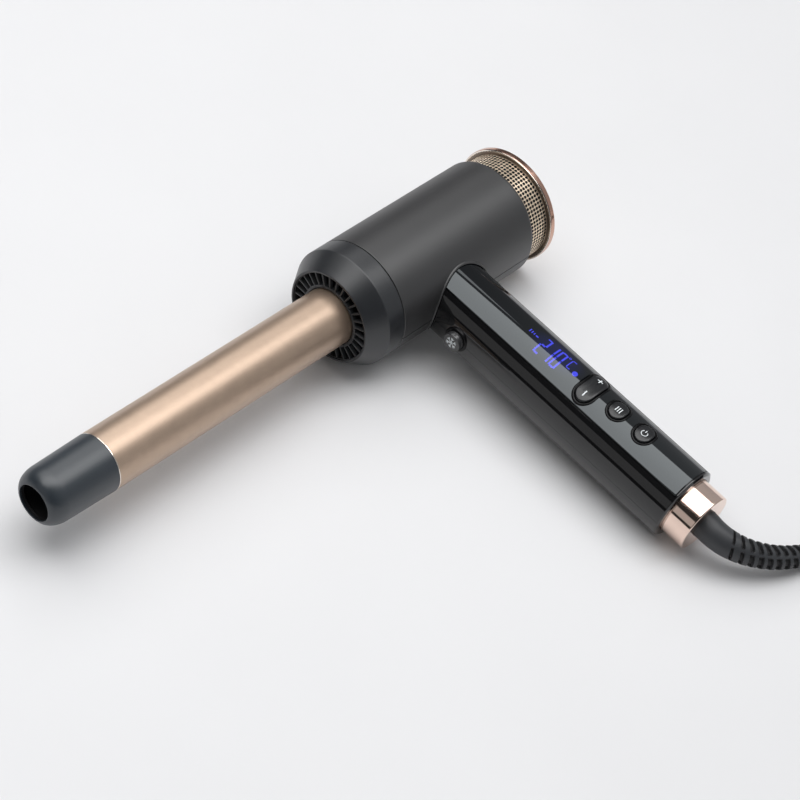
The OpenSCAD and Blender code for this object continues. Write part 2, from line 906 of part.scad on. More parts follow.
module lit_marks() {
    middle = display_at - digit_shift;
    intersection() {
        tube_s(0, handle_len, handle_r, handle_r - digit_depth);
        translate([digit_across, 0, 0]) {
            digit(middle - digit_pitch, [1, 1, 0, 1, 1, 0, 1]);
            digit(middle, [0, 1, 1, 0, 0, 0, 0]);
            digit(middle + digit_pitch, [1, 1, 1, 1, 1, 1, 0]);
        }
    }
}

module display_digits() {
    color("#3040ff") place() lit_marks();
}

module bezel(at, len, width) {
    intersection() {
        rod_s(0, handle_len, handle_r + bezel_rise);
        difference() {
            oval(at, len + 2 * bezel_w, width + 2 * bezel_w, bezel_foot, handle_d);
            oval(at, len + 2 * part_gap, width + 2 * part_gap, 0, handle_d + over);
        }
    }
}

module control_bezels() {
    color("#0c0c0e") place() {
        difference() {
            bezel(rocker_at, rocker_len, rocker_w);
            rocker_pins(rocker_pin_in + shaft_gap, rocker_pin_r + shaft_gap);
        }
        bezel(mode_at, button_len, button_w);
        bezel(power_at, button_len, button_w);
    }
}

module button_body(at, len, width, foot) {
    intersection() {
        rod_s(0, handle_len, handle_r + button_rise);
        oval(at, len, width, foot, handle_d);
    }
}

// The rocker's axle, which reaches a little way into its bezel at both ends
module rocker_pins(reach, r) {
    half = rocker_w / 2 + part_gap + reach;
    translate([0, 0, rocker_pivot_z]) rod_s(rocker_at - half, rocker_at + half, r);
}

// A short post under one end of the rocker, or the switch it presses
module rocker_post(side, half, z0, z1) {
    x = side * rocker_foot_x;
    block_s(rocker_at - half, rocker_at + half, x - half, x + half, z0, z1);
}

module temperature_rocker() {
    foot = rocker_pivot_z - rocker_core;
    color("#26272a") place() {
        button_body(rocker_at, rocker_len, rocker_w, foot);
        for (side = [-1, 1])
            rocker_post(side, rocker_foot_w / 2, board_top + switch_h + stem_gap, foot + rocker_core);
        rocker_pins(rocker_pin_in, rocker_pin_r);
    }
}

module mode_button() {
    color("#26272a") place() button_body(mode_at, button_len, button_w, button_foot);
}

module power_button() {
    color("#26272a") place() button_body(power_at, button_len, button_w, button_foot);
}

module cool_shot_bezel() {
    color("#0c0c0e") place() translate([0, -cool_at, 0])
        tube_x(-handle_r - cool_bezel_rise, cool_seat_x, cool_r + part_gap + cool_bezel_w, cool_r + part_gap);
}

module cool_shot_button() {
    color("#26272a") place() translate([0, -cool_at, 0]) {
        rod_x(-handle_r - cool_rise, cool_board_x - cool_switch_h - cool_travel - stem_gap, cool_r);
        rod_x(cool_seat_x + part_gap, cool_seat_x + part_gap + cool_stop_t, cool_r + cool_stop_w);
    }
}

module cool_shot_board() {
    half = sqrt(pow(handle_in_r, 2) - pow(cool_board_x, 2));
    color("#1f5a34") place() {
        block_s(cool_at - cool_board_len / 2, cool_at + cool_board_len / 2,
            cool_board_x, cool_board_x + cool_board_t, -half, half);
        block_s(cool_at - cool_switch_w / 2, cool_at + cool_switch_w / 2,
            cool_board_x - cool_switch_h, cool_board_x, -cool_switch_w / 2, cool_switch_w / 2);
    }
}

module control_board() {
    half = sqrt(pow(handle_in_r, 2) - pow(board_top, 2));
    color("#1f5a34") place() block_s(board_start, board_end, -half, half, board_top - board_t, board_top);
}

module tact_switches() {
    half = switch_w / 2;
    color("#17171a") place() {
        for (side = [-1, 1]) rocker_post(side, half, board_top, board_top + switch_h - rocker_drop);
        for (at = [mode_at, power_at])
            block_s(at - half, at + half, -half, half, board_top, board_top + switch_h);
    }
}

module wire_harness() {
    color("#a03020") place() {
        for (x = harness_xs) translate([x, 0, wire_z]) rod_s(harness_start, board_start + wire_lap, wire_r);
        for (x = mains_xs) translate([x, 0, wire_z]) rod_s(board_end - wire_lap, clamp_start, wire_r);
    }
}

module cord_clamp() {
    color("#1b1b1d") place() difference() {
        intersection() {
            rod_s(clamp_start, clamp_start + clamp_len, handle_in_r);
            block_s(clamp_start, clamp_start + clamp_len, -clamp_w / 2, clamp_w / 2, -handle_r, board_top);
        }
        rod_s(clamp_start - over, clamp_start + clamp_len + over, cord_r);
        for (side = [-1, 1])
            translate([side * clamp_screw_x, -clamp_start - clamp_len / 2, 0])
                cylinder(h = handle_r, r = screw_r);
    }
}

module clamp_screws() {
    color("silver") place() for (side = [-1, 1])
        translate([side * clamp_screw_x, -clamp_start - clamp_len / 2, 0]) {
            cylinder(h = board_top, r = screw_r);
            translate([0, 0, board_top]) cylinder(h = screw_head_t, r = screw_head_r);
        }
}

module shell_screws() {
    color("silver") place() for (at = screw_ats) translate([0, -at, -handle_r + screw_recess]) {
        cylinder(h = handle_r - screw_recess + boss_depth - screw_short, r = screw_r);
        translate([0, 0, -screw_head_t]) cylinder(h = screw_head_t, r = screw_head_r);
    }
}

module end_ring() {
    inner = handle_len - ring_inner;
    color("#c98f73") place() difference() {
        union() {
            rod_s(inner, ring_end - ring_chamfer, end_ring_r);
            rod_s(inner, inner + ring_flange_t, handle_in_r);
            translate([0, -ring_end + ring_chamfer, 0]) rotate([90, 0, 0])
                cylinder(h = ring_chamfer, r1 = end_ring_r, r2 = end_ring_r - ring_chamfer);
        }
        rod_s(inner - over, ring_end - ring_face_t, ring_in_r);
        rod_s(inner, ring_end + over, relief_d / 2);
    }
}

module strain_relief() {
    color("#26272a") {
        place() difference() {
            union() {
                rod_s(ring_end, ring_end + relief_flange_t, relief_flange_r);
                rod_s(relief_lock_at, ring_end + relief_join, relief_d / 2);
                rod_s(relief_lock_at, ring_end - ring_face_t, relief_lock_r);
            }
            rod_s(relief_lock_at - over, ring_end, cord_r);
        }
        on_table() swept(relief_route, relief_d / 2, relief_end_d / 2, relief_sides);
    }
}

// ---- cord ----

module mains_cord() {
    color("#1c1c1e") {
        place() rod_s(stub_start, ring_end, cord_r);
        on_table() swept(cord_route, cord_r, cord_r, cord_sides);
        on_table() swept(tail_route, cord_r, cord_r, cord_sides);
    }
}

module cord_coil() {
    color("#1c1c1e") on_table() translate(coil_centre) rotate_extrude()
        translate([(coil_d - coil_w) / 2, 0]) polygon([
            [cord_r, 0], [coil_w - cord_r, 0], [coil_w, cord_r], [coil_w, coil_h - cord_r],
            [coil_w - cord_r, coil_h], [cord_r, coil_h], [0, coil_h - cord_r], [0, cord_r]]);
}

module plug_body() {
    x = plug_w / 2;
    y = plug_h / 2;
    color("#1c1c1e") on_table() translate(plug_centre) linear_extrude(plug_body_t) polygon([
        [-x, -plug_taper], [-x, plug_taper], [-x + plug_corner, y], [x - plug_corner, y],
        [x, y - plug_corner], [x, -y + plug_corner], [x - plug_corner, -y], [-x + plug_corner, -y]]);
}

module plug_pins() {
    t = blade_thick / 2;
    color("#c8a850") on_table() translate(plug_centre + [0, 0, plug_body_t]) {
        translate([blade_offset - earth_w / 2, -t, 0]) cube([earth_w, blade_thick, earth_out]);
        for (side = [-1, 1])
            translate([-blade_offset - t, side * blade_offset - live_w / 2, 0])
                cube([blade_thick, live_w, live_out]);
    }
}

tip_cap();
barrel_tube();
collar_shell();
vent_ring();
barrel_socket();
collar_back();
wand_magnets();
heat_spreaders();
barrel_heater();
barrel_thermostat();
heater_leads();
contact_plug();
contact_pins();
head_shell_upper();
head_shell_lower();
neck_trim();
outlet_ring();
head_magnets();
contact_socket();
heat_shield();
heater_frame();
heating_elements();
fan_housing();
motor_can();
fan_bearings();
motor_stator();
rotor_magnet();
fan_shaft();
impeller();
filter_seat();
filter_frame();
filter_band();
filter_flange();
filter_rose_band();
rear_grille();
filter_foam();
handle_shell_upper();
handle_shell_lower();
control_panel();
display_module();
display_digits();
control_bezels();
temperature_rocker();
mode_button();
power_button();
cool_shot_bezel();
cool_shot_button();
cool_shot_board();
control_board();
tact_switches();
wire_harness();
cord_clamp();
clamp_screws();
shell_screws();
end_ring();
strain_relief();
mains_cord();
cord_coil();
plug_body();
plug_pins();
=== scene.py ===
import math
import bmesh
import bpy
import numpy as np
from mathutils import Euler, Matrix, Vector


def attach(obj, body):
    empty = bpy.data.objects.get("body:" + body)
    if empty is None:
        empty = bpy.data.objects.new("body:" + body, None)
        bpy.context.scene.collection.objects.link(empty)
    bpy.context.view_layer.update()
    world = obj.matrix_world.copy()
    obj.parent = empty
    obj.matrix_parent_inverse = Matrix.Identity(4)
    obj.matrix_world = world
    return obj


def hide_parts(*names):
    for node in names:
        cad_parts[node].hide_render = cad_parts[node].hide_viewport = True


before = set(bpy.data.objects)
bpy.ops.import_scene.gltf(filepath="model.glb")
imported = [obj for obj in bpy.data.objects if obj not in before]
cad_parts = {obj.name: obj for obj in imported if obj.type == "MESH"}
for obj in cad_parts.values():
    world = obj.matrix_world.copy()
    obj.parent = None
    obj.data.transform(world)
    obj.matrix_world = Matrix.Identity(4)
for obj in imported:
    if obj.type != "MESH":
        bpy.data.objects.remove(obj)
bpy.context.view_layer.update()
PI = math.pi


def put(thing, **values):
    """Sets several of a thing's values and returns it."""
    for key, value in values.items():
        setattr(thing, key, value)
    return thing


def added(name, data):
    """A new object with this data, in the scene."""
    obj = bpy.data.objects.new(name, data)
    bpy.context.scene.collection.objects.link(obj)
    return obj


# ---- camera: the photograph's viewing angle, found from the object's round edges ----
CAMERA_AT = (-0.76348966, -0.43486453, 1.01687756)
CAMERA_RIGHT = (0.67275375, -0.71204137, 0.20099622)
CAMERA_UP = (0.45396775, 0.61178023, 0.6477949)
CAMERA_BACK = (-0.58422228, -0.34456065, 0.73482126)
camera = added("camera", put(bpy.data.cameras.new("camera"), sensor_fit="HORIZONTAL", sensor_width=36,
                             lens=118.744, clip_end=50))
camera_turn = Matrix((CAMERA_RIGHT, CAMERA_UP, CAMERA_BACK)).transposed().to_4x4()
camera.matrix_world = Matrix.Translation(CAMERA_AT) @ camera_turn
bpy.context.scene.camera = camera

# ---- the device's own sizes, in millimetres ----
# Device axes: X along the head, the handle towards -Y, the controls at +Z. Places along the handle count from
# the head's axis.
HEAD_R = 33.3
HEAD_IN_R = 30.9
HEAD_END_ROUND = 2.6
NECK_HOLE_R = 21.9
SEAT_X, SEAT_R = 53.0, 28.7
HANDLE_R = 21.0
HANDLE_LEN = 195.5
END_CHAMFER = 1.4
PANEL_W = 26.4
PANEL_T = 1.3
PANEL_GAP = 0.5
PANEL_END = 193.4
ROOT_R = 29.2
HANDLE_IN_R = 18.6
BARREL_R = 16.0
BARREL_IN_R = 14.85
COLLAR_IN_R = 31.5
TIP_X = -270.2
TIP_END_R = 15.3
SEAM_X = -229.2
MOUTH_X = -67.8
CONE_X = -56.8
COLLAR_REAR_X = -45.4
BARREL_REAR_X = -38.1
HEAD_FRONT_X = -45.1
HEAD_REAR_X = 58.5
BAND_X = 58.8
FLANGE_X = 72.5
REAR_X = 76.1
REAR_IN_R = 30.9
RING_END = 210.0
RING_R = 16.9
RING_IN_R, RING_BACK_R = 8.2, 14.2
# Each control: its place along the handle, its length across it and its width along it
ROCKER = (122.4, 22.0, 9.8)
MODE = (140.8, 12.0, 9.4)
POWER = (159.0, 12.0, 9.4)
CONTROLS = (ROCKER, MODE, POWER)
BEZEL_W = 1.8
COOL_AT, COOL_R, COOL_RIM_W = 50.0, 5.35, 1.8
CORD_D = 7.5

# The device is rolled about X until its head and its handle's far end both lie on the table
ROLL = math.asin(HEAD_R / math.hypot(HANDLE_LEN - END_CHAMFER, HANDLE_R)) - math.atan2(
    HANDLE_R, HANDLE_LEN - END_CHAMFER)
TURN = np.array([[1, 0, 0], [0, math.cos(ROLL), -math.sin(ROLL)], [0, math.sin(ROLL), math.cos(ROLL)]])
# From the device's origin to the row's, which is under the middle of the device's box
SHIFT = np.array([97.05, 88.674824, 0.0])


def device(points):
    """Device millimetres to row metres."""
    return (np.asarray(points, float) @ TURN.T + SHIFT + [0, 0, HEAD_R]) / 1000


def table(points):
    """Millimetres on the table, counted from under the head's axis, to row metres."""
    return (np.asarray(points, float) + SHIFT) / 1000


# ---- procedural materials ----

def node(tree, kind, inputs=None, **settings):
    """A new shader node with its settings and the values of its inputs."""
    new = put(tree.nodes.new("ShaderNode" + kind), **settings)
    for key, value in (inputs or {}).items():
        new.inputs[key].default_value = value
    return new


def math_node(tree, operation, first, second):
    new = node(tree, "Math", operation=operation)
    tree.links.new(first, new.inputs[0])
    tree.links.new(second, new.inputs[1])
    return new.outputs["Value"]


def smooth_range(tree, value, first, last, low=0.0, high=1.0):
    """A smooth step: low where value is at most first, high where it is at least last."""
    step = node(tree, "MapRange", {"From Min": first, "From Max": last, "To Min": low, "To Max": high},
                interpolation_type="SMOOTHSTEP")
    tree.links.new(value, step.inputs["Value"])
    return step.outputs["Result"]


def shade(colour, k):
    return (*[min(1.0, max(0.0, c * k)) for c in colour], 1)


def material(name, colour, rough, metal=0.0, spread=0.06, rough_spread=0.04, size=0.02, grain=0.0,
             grain_size=0.0004, coat=0.0, coat_rough=0.05, specular=0.5, glow=0.0, tint=(1, 1, 1)):
    """A finish whose colour, roughness and fine relief vary over the surface; sizes in metres."""
    m = bpy.data.materials.new(name)
    m.use_nodes = True
    tree = m.node_tree
    link = tree.links.new
    shader = tree.nodes["Principled BSDF"]
    place = node(tree, "TexCoord").outputs["Object"]
    patches = node(tree, "TexNoise", {"Scale": 1 / size, "Detail": 4})
    link(place, patches.inputs["Vector"])
    ramp = node(tree, "ValToRGB")
    dark, light = ramp.color_ramp.elements
    dark.position, light.position = 0.3, 0.7
    dark.color, light.color = shade(colour, 1 - spread), shade(colour, 1 + spread)
    link(patches.outputs["Fac"], ramp.inputs["Fac"])
    link(ramp.outputs["Color"], shader.inputs["Base Color"])
    span = node(tree, "MapRange", {"To Min": max(0.0, rough - rough_spread),
                                   "To Max": min(1.0, rough + rough_spread)})
    link(patches.outputs["Fac"], span.inputs["Value"])
    link(span.outputs["Result"], shader.inputs["Roughness"])
    if grain:
        fine = node(tree, "TexNoise", {"Scale": 1 / grain_size, "Detail": 3})
        link(place, fine.inputs["Vector"])
        bump = node(tree, "Bump", {"Strength": grain, "Distance": grain_size * 0.25})
        link(fine.outputs["Fac"], bump.inputs["Height"])
        link(bump.outputs["Normal"], shader.inputs["Normal"])
    for socket, value in (("Metallic", metal), ("Specular IOR Level", specular), ("Specular Tint", (*tint, 1)),
                          ("IOR", 1.5), ("Coat Weight", coat), ("Coat Roughness", coat_rough)):
        shader.inputs[socket].default_value = value
    if glow:
        link(ramp.outputs["Color"], shader.inputs["Emission Color"])
        shader.inputs["Emission Strength"].default_value = glow
    return m


soft_charcoal = material("soft_charcoal", (0.0165, 0.0162, 0.0172), 0.44, rough_spread=0.03, grain=0.12,
                         grain_size=0.00035, specular=0.95)
collar_grey = material("collar_grey", (0.015, 0.0165, 0.0195), 0.37, grain=0.08, grain_size=0.0003, specular=0.7)
tip_grey = material("tip_grey", (0.022, 0.029, 0.037), 0.36, spread=0.09, grain=0.14, specular=0.75)
vent_grey = material("vent_grey", (0.030, 0.032, 0.035), 0.42, grain=0.06)
cool_cap = material("cool_cap", (0.035, 0.035, 0.037), 0.2, spread=0.05, grain=0.05, specular=1.0)
# The inner parts' own black. On the faces of slots and holes the same finish is painted shade.
inner_black_and_painted_shade = material("inner_black_and_painted_shade", (0.010, 0.010, 0.011), 0.6, spread=0.1, grain=0.08)
pearl = material("pearl", (0.50, 0.372, 0.28), 0.40, metal=0.8, spread=0.04, rough_spread=0.03, size=0.006,
                 grain=0.16, grain_size=0.00022, coat=0.22, coat_rough=0.3)
piano = material("piano_black", (0.006, 0.006, 0.0065), 0.045, spread=0.1, rough_spread=0.012, size=0.05,
                 coat=0.3, coat_rough=0.03)
glass = material("panel_glass", (0.005, 0.0055, 0.0065), 0.035, spread=0.1, rough_spread=0.01, size=0.05,
                 coat=0.1, coat_rough=0.02, specular=0.67, tint=(0.90, 0.97, 1.0))
satin_black = material("satin_black", (0.012, 0.0125, 0.014), 0.24, grain=0.05, grain_size=0.0003)
bezel_black = material("bezel_black", (0.004, 0.004, 0.0045), 0.22, spread=0.08, specular=0.22)
rose = material("rose_gold", (0.88, 0.68, 0.58), 0.09, metal=1.0, spread=0.03, rough_spread=0.03, size=0.01,
                grain=0.015, grain_size=0.0006)
copper = material("rose_copper", (0.60, 0.37, 0.29), 0.17, metal=1.0, spread=0.04, size=0.01, grain=0.03)
# A paler metal for thin edges, which paints a highlight line on them.
painted_glint_metal = material("painted_glint_metal", (0.93, 0.86, 0.78), 0.14, metal=1.0, spread=0.03, size=0.006)
taupe = material("taupe_metal", (0.25, 0.205, 0.17), 0.34, metal=0.9, spread=0.05, grain=0.05, grain_size=0.0003)
mesh_gold = material("champagne_mesh", (0.87, 0.72, 0.56), 0.32, metal=0.85, size=0.004, grain=0.05)
foam_black = material("filter_foam", (0.012, 0.012, 0.011), 0.9, spread=0.3, size=0.0015, grain=0.7,
                      grain_size=0.0012)
rubber = material("cord_rubber", (0.034, 0.036, 0.040), 0.46, spread=0.08, grain=0.10, grain_size=0.0005)
plug_black = material("plug_plastic", (0.022, 0.022, 0.024), 0.42, grain=0.12)
brass = material("pin_brass", (0.75, 0.62, 0.38), 0.24, metal=1.0, spread=0.05, size=0.004, grain=0.04)
steel = material("steel", (0.55, 0.55, 0.56), 0.28, metal=1.0, size=0.003, grain=0.04)
magnet_nickel = material("magnet_nickel", (0.62, 0.61, 0.59), 0.2, metal=1.0, spread=0.05, size=0.003)
aluminium = material("bare_aluminium", (0.66, 0.66, 0.67), 0.36, metal=1.0, spread=0.05, size=0.003, grain=0.06)
ceramic = material("ceramic", (0.72, 0.69, 0.62), 0.6, spread=0.05, size=0.004, grain=0.1)
mica = material("mica", (0.45, 0.38, 0.27), 0.35, spread=0.18, size=0.006, coat=0.3, grain=0.08)
alloy = material("heating_alloy", (0.38, 0.35, 0.33), 0.4, metal=1.0, spread=0.15, size=0.003)
winding = material("winding", (0.55, 0.26, 0.12), 0.35, metal=0.8, spread=0.15, size=0.0012, grain=0.4,
                   grain_size=0.0008)
board_green = material("circuit_board", (0.02, 0.085, 0.045), 0.4, spread=0.15, size=0.003, grain=0.1)
switch_grey = material("switch_grey", (0.20, 0.20, 0.21), 0.45, size=0.003)
wire_red = material("wire_cover", (0.16, 0.03, 0.025), 0.45, spread=0.08, size=0.003)
display_case = material("display_case", (0.03, 0.032, 0.036), 0.3)
lit_blue = material("display_blue", (0.032, 0.038, 0.42), 0.035, spread=0.15, rough_spread=0.01, size=0.002,
                    coat=0.3, coat_rough=0.02, glow=0.95)
mark_white = material("mark_white", (0.80, 0.84, 0.86), 0.45, spread=0.03, size=0.001, grain=0.05)


# ---- building pieces ----

def read(items, key, width=1, kind=float):
    """One value of every vertex, corner or face."""
    values = np.empty(width * len(items), kind)
    items.foreach_get(key, values)
    return values.reshape(-1, width) if width > 1 else values


def points_of(mesh):
    return read(mesh.vertices, "co", 3)


def move_points(mesh, move):
    mesh.vertices.foreach_set("co", move(points_of(mesh)).ravel())
    mesh.update()
    return mesh


def unit(rows):
    """Every row at length one."""
    return rows / (np.linalg.norm(rows, axis=1)[:, None] + 1e-12)


def loop_data(mesh):
    """For every corner: its vertex, its face, and the face's normal."""
    face = np.repeat(np.arange(len(mesh.polygons)), read(mesh.polygons, "loop_total", kind=np.int32))
    return read(mesh.loops, "vertex_index", kind=np.int32), face, read(mesh.polygons, "normal", 3)[face]


def quads(rows, n, closed=False):
    """Faces between rows of n points, each row an outline; closed joins the last row to the first."""
    return [[k * n + i, k * n + (i + 1) % n, (k + 1) % rows * n + (i + 1) % n, (k + 1) % rows * n + i]
            for k in range(rows if closed else rows - 1) for i in range(n)]


def capped(rows, n):
    """The same faces, with the first and the last row filled in."""
    return quads(rows, n) + [list(range(n)), list(range((rows - 1) * n, rows * n))]


def built(verts, faces, merge=0.0):
    """A mesh whose faces all look outwards, still in millimetres; points closer than merge become one."""
    mesh = bpy.data.meshes.new("shape")
    mesh.from_pydata([tuple(v) for v in verts], [], [tuple(int(i) for i in f) for f in faces])
    b = bmesh.new()
    b.from_mesh(mesh)
    if merge:
        bmesh.ops.remove_doubles(b, verts=b.verts, dist=merge)
    bmesh.ops.recalc_face_normals(b, faces=b.faces)
    b.to_mesh(mesh)
    b.free()
    mesh.update()
    return mesh


def soften(obj, width, angle):
    """Rounds an object's edges; width in millimetres, angle in degrees."""
    put(obj.modifiers.new("edges", "BEVEL"), width=width / 1000, segments=2, limit_method="ANGLE",
        angle_limit=math.radians(angle), harden_normals=True)


def piece(name, mesh, finish, body, nodes=(), normals=None, angle=32, bevel=0.0, place=device):
    """One object from a mesh in millimetres; normals, where given, are set after it is placed."""
    mesh.name = name
    move_points(mesh, place)
    mesh.materials.clear()
    mesh.materials.append(finish)
    mesh.polygons.foreach_set("use_smooth", np.ones(len(mesh.polygons), bool))
    if normals is None:
        mesh.set_sharp_from_angle(angle=math.radians(angle))
    else:
        mesh.normals_split_custom_set((normals @ TURN.T if place is device else normals).tolist())
    obj = added(name, mesh)
    if bevel:
        soften(obj, bevel, 40)
    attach(obj, body)
    if nodes:
        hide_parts(*nodes)
    return obj


def paint_shade_on_faces(obj, chosen, finish):
    """Gives the chosen faces of a piece a second, dark finish, as painted shade in its recesses."""
    obj.data.materials.append(finish)
    obj.data.polygons.foreach_set("material_index", np.asarray(chosen, int))


def round_outline(r, count, x=0.0, y=0.0):
    return [(x + r * math.cos(t), y + r * math.sin(t)) for t in 2 * PI * np.arange(count) / count]


def fillet(corners, steps=5):
    """A closed path through corners (u, v, radius) with arcs in place of the corners that have a radius."""
    out = []
    for i, c in enumerate(corners):
        p = np.array(c[:2], float)
        r = c[2] if len(c) > 2 else 0
        if not r:
            out.append(p)
            continue
        a = np.array(corners[i - 1][:2], float) - p
        b = np.array(corners[(i + 1) % len(corners)][:2], float) - p
        a /= np.linalg.norm(a)
        b /= np.linalg.norm(b)
        half = math.acos(max(-1, min(1, a @ b))) / 2
        centre = p + (a + b) / np.linalg.norm(a + b) * r / math.sin(half)
        t0, t1 = [math.atan2(*(p + q * r / math.tan(half) - centre)[::-1]) for q in (a, b)]
        sweep = (t1 - t0 + PI) % (2 * PI) - PI
        out += [centre + r * np.array([math.cos(t0 + sweep * k / steps), math.sin(t0 + sweep * k / steps)])
                for k in range(steps + 1)]
    return np.array(out)


def about_x(u, r, a):
    return np.stack([u, r * np.cos(a), r * np.sin(a)], -1)


def about_handle(u, r, a):
    """Angle 0 is the controls' side (+Z) and 90 degrees is +X."""
    return np.stack([r * np.sin(a), -u, r * np.cos(a)], -1)


CREASE = math.radians(38)


def lathe(profile, around, steps=256, start=0.0, turn=2 * PI):
    """Turns a closed profile (along, radius) and returns (mesh, corner normals). Part turns get flat ends."""
    profile = np.asarray(profile, float)
    n = len(profile)
    whole = abs(turn - 2 * PI) < 1e-6
    rings = steps if whole else steps + 1
    angles = start + turn * np.arange(rings) / steps
    k = np.tile(np.arange(n), rings)
    verts = around(profile[k, 0], profile[k, 1], np.repeat(angles, n))
    mesh = built(verts, quads(rings, n, True) if whole else capped(rings, n))
    # Each corner's normal is that of the profile there, blended over the bends that are less than a crease
    along = np.roll(profile, -1, 0) - profile
    length = np.linalg.norm(along, axis=1)
    after = np.stack([-along[:, 1], along[:, 0]], -1) / length[:, None]
    before = np.roll(after, 1, 0)
    soft = np.sum(before * after, 1) > math.cos(CREASE)
    mixed = unit(before * np.roll(length, 1)[:, None] + after * length[:, None])
    at_start = np.where(soft[:, None], mixed, after)
    at_end = np.where(np.roll(soft, -1)[:, None], np.roll(mixed, -1, 0), after)
    vertex, face, face_normal = loop_data(mesh)
    # The profile's edge that each face was made from, and -1 for the flat ends
    edge = np.append(np.tile(np.arange(n), steps), [-1, -1])[face]
    flat = np.where((vertex % n == edge)[:, None], at_start[edge], at_end[edge])
    bend = angles[vertex // n]
    origin = around(np.zeros(len(bend)), np.zeros(len(bend)), bend)
    normal = around(flat[:, 0], flat[:, 1], bend) - origin
    normal *= np.sign(np.sum(normal * face_normal, 1))[:, None]
    normal[edge < 0] = face_normal[edge < 0]
    return mesh, normal


def turned_piece(name, corners, finish, body, nodes=(), around=about_x, steps=256, arc_steps=5):
    """One object turned from a closed outline with rounded corners."""
    mesh, normals = lathe(fillet(corners, arc_steps), around, steps)
    return piece(name, mesh, finish, body, nodes, normals)


def stacked(levels, across):
    """A closed skin through outlines of equal length, each at its own height; across(a, b, c) makes the points."""
    return built([across(a, b, c) for outline, c in levels for a, b in outline],
                 capped(len(levels), len(levels[0][0])))


def prism(outline, low, high, across):
    """A closed outline pushed from low to high."""
    return stacked([(outline, low), (outline, high)], across)


STADIUM_STEPS = 16


def stadium(length, width):
    """A slot outline with round ends: length across the handle (x), width along it."""
    half = (length - width) / 2
    r = width / 2
    return [(side * half + r * math.cos(t), r * math.sin(t))
            for side, first in ((1, -PI / 2), (-1, PI / 2))
            for t in [first + PI * k / STADIUM_STEPS for k in range(STADIUM_STEPS + 1)]]


def joined(meshes):
    """Several closed meshes in one."""
    b = bmesh.new()
    for m in meshes:
        b.from_mesh(m)
    mesh = bpy.data.meshes.new("joined")
    b.to_mesh(mesh)
    b.free()
    return mesh


def carve(mesh, cutters):
    """The mesh with the cutters taken out of it."""
    body = added("carved", mesh)
    tools = []
    for cutter in cutters:
        tools.append(added("cutter", cutter))
        put(body.modifiers.new("cut", "BOOLEAN"), operation="DIFFERENCE", solver="EXACT", object=tools[-1])
    done = bpy.data.meshes.new_from_object(body.evaluated_get(bpy.context.evaluated_depsgraph_get()))
    for obj in [body, *tools]:
        bpy.data.objects.remove(obj)
    return done


def handle_normals(mesh, angle=0.35):
    """Corner normals that follow the handle's round surfaces, leaning up to an angle, and are flat elsewhere."""
    vertex, _, normal = loop_data(mesh)
    across = [1, 0, 1]
    ray = unit(points_of(mesh)[vertex] * across)
    lean = np.sum(ray * unit(normal * across), 1)
    size = np.linalg.norm(normal * across, axis=1)
    rounded = ray * (np.sign(lean) * size)[:, None]
    rounded[:, 1] = normal[:, 1]
    return np.where(((np.abs(lean) > math.cos(angle)) & (size > 0.2))[:, None], rounded, normal)


# ---- mains cord: one length from the strain relief, through the stored coil, to the plug ----
# The routes are those of the CAD, in millimetres on the table
RELIEF_ROUTE = [(0, -208.2, 20.1), (0, -211.6, 19.8), (0, -217, 19.1), (1.6, -223.5, 17.8), (5.4, -230.4, 16),
                (11.5, -237.2, 13.8), (19.6, -243.6, 11.6), (29.2, -249, 9.6), (39.6, -253.2, 8),
                (50.4, -256.6, 6.8), (61.4, -259.4, 6)]
CORD_ROUTE = [RELIEF_ROUTE[-1], (72, -261.5, 5.2), (83, -262.4, 4.5), (94, -261.8, 4.1),
              (104, -259.4, 3.9), (113, -255.8, 3.9)]
TAIL_ROUTE = [(152, -248.8, 25.2), (165, -248.7, 21.6), (178, -248.3, 16.4), (191, -247.6, 11.8),
              (204, -246.9, 9.0), (216, -246.3, 8.6), (227, -246, 9.4), (236, -246, 9.4), (243, -246, 9.4)]
COIL_CENTRE = (139, -301)
COIL_FIRST = math.radians(110)
COIL_STEP = 15
# Radius and height at the start of the winding, then each stage: degrees turned, radius and height at its end
WINDING_START = (52.25, 3.9)
WINDING = [(1080, 29.75, 3.9), (180, 29.75, 11.4), (1080, 52.25, 11.4), (120, 52.25, 18.9),
           (1000, 31.4, 18.9), (60, 31.4, 26.4), (100, 52.25, 26.4)]


def ease(t):
    return t * t * (3 - 2 * t)


def coil_points():
    radius, height = WINDING_START
    turned_by = 0.0
    points = []
    for degrees, next_radius, next_height in WINDING:
        count = round(degrees / COIL_STEP)
        for k in range(count):
            t = k / count
            angle = COIL_FIRST - math.radians(turned_by + degrees * t)
            r = radius + (next_radius - radius) * t
            points.append((COIL_CENTRE[0] + r * math.cos(angle), COIL_CENTRE[1] + r * math.sin(angle),
                           height + (next_height - height) * ease(t)))
        turned_by += degrees
        radius, height = next_radius, next_height
    return points


def smooth_path(points, per):
    """A smooth line through the points (Catmull-Rom), with this many steps between two of them."""
    p = np.asarray(points, float)
    p = np.vstack([2 * p[0] - p[1], p, 2 * p[-1] - p[-2]])
    out = []
    for i in range(1, len(p) - 2):
        for k in range(per):
            t = k / per
            out.append(0.5 * (2 * p[i] + (p[i + 1] - p[i - 1]) * t
                              + (2 * p[i - 1] - 5 * p[i] + 4 * p[i + 1] - p[i + 2]) * t * t
                              + (3 * p[i] - p[i - 1] - 3 * p[i + 1] + p[i + 2]) * t ** 3))
    out.append(p[-2])
    return np.array(out)


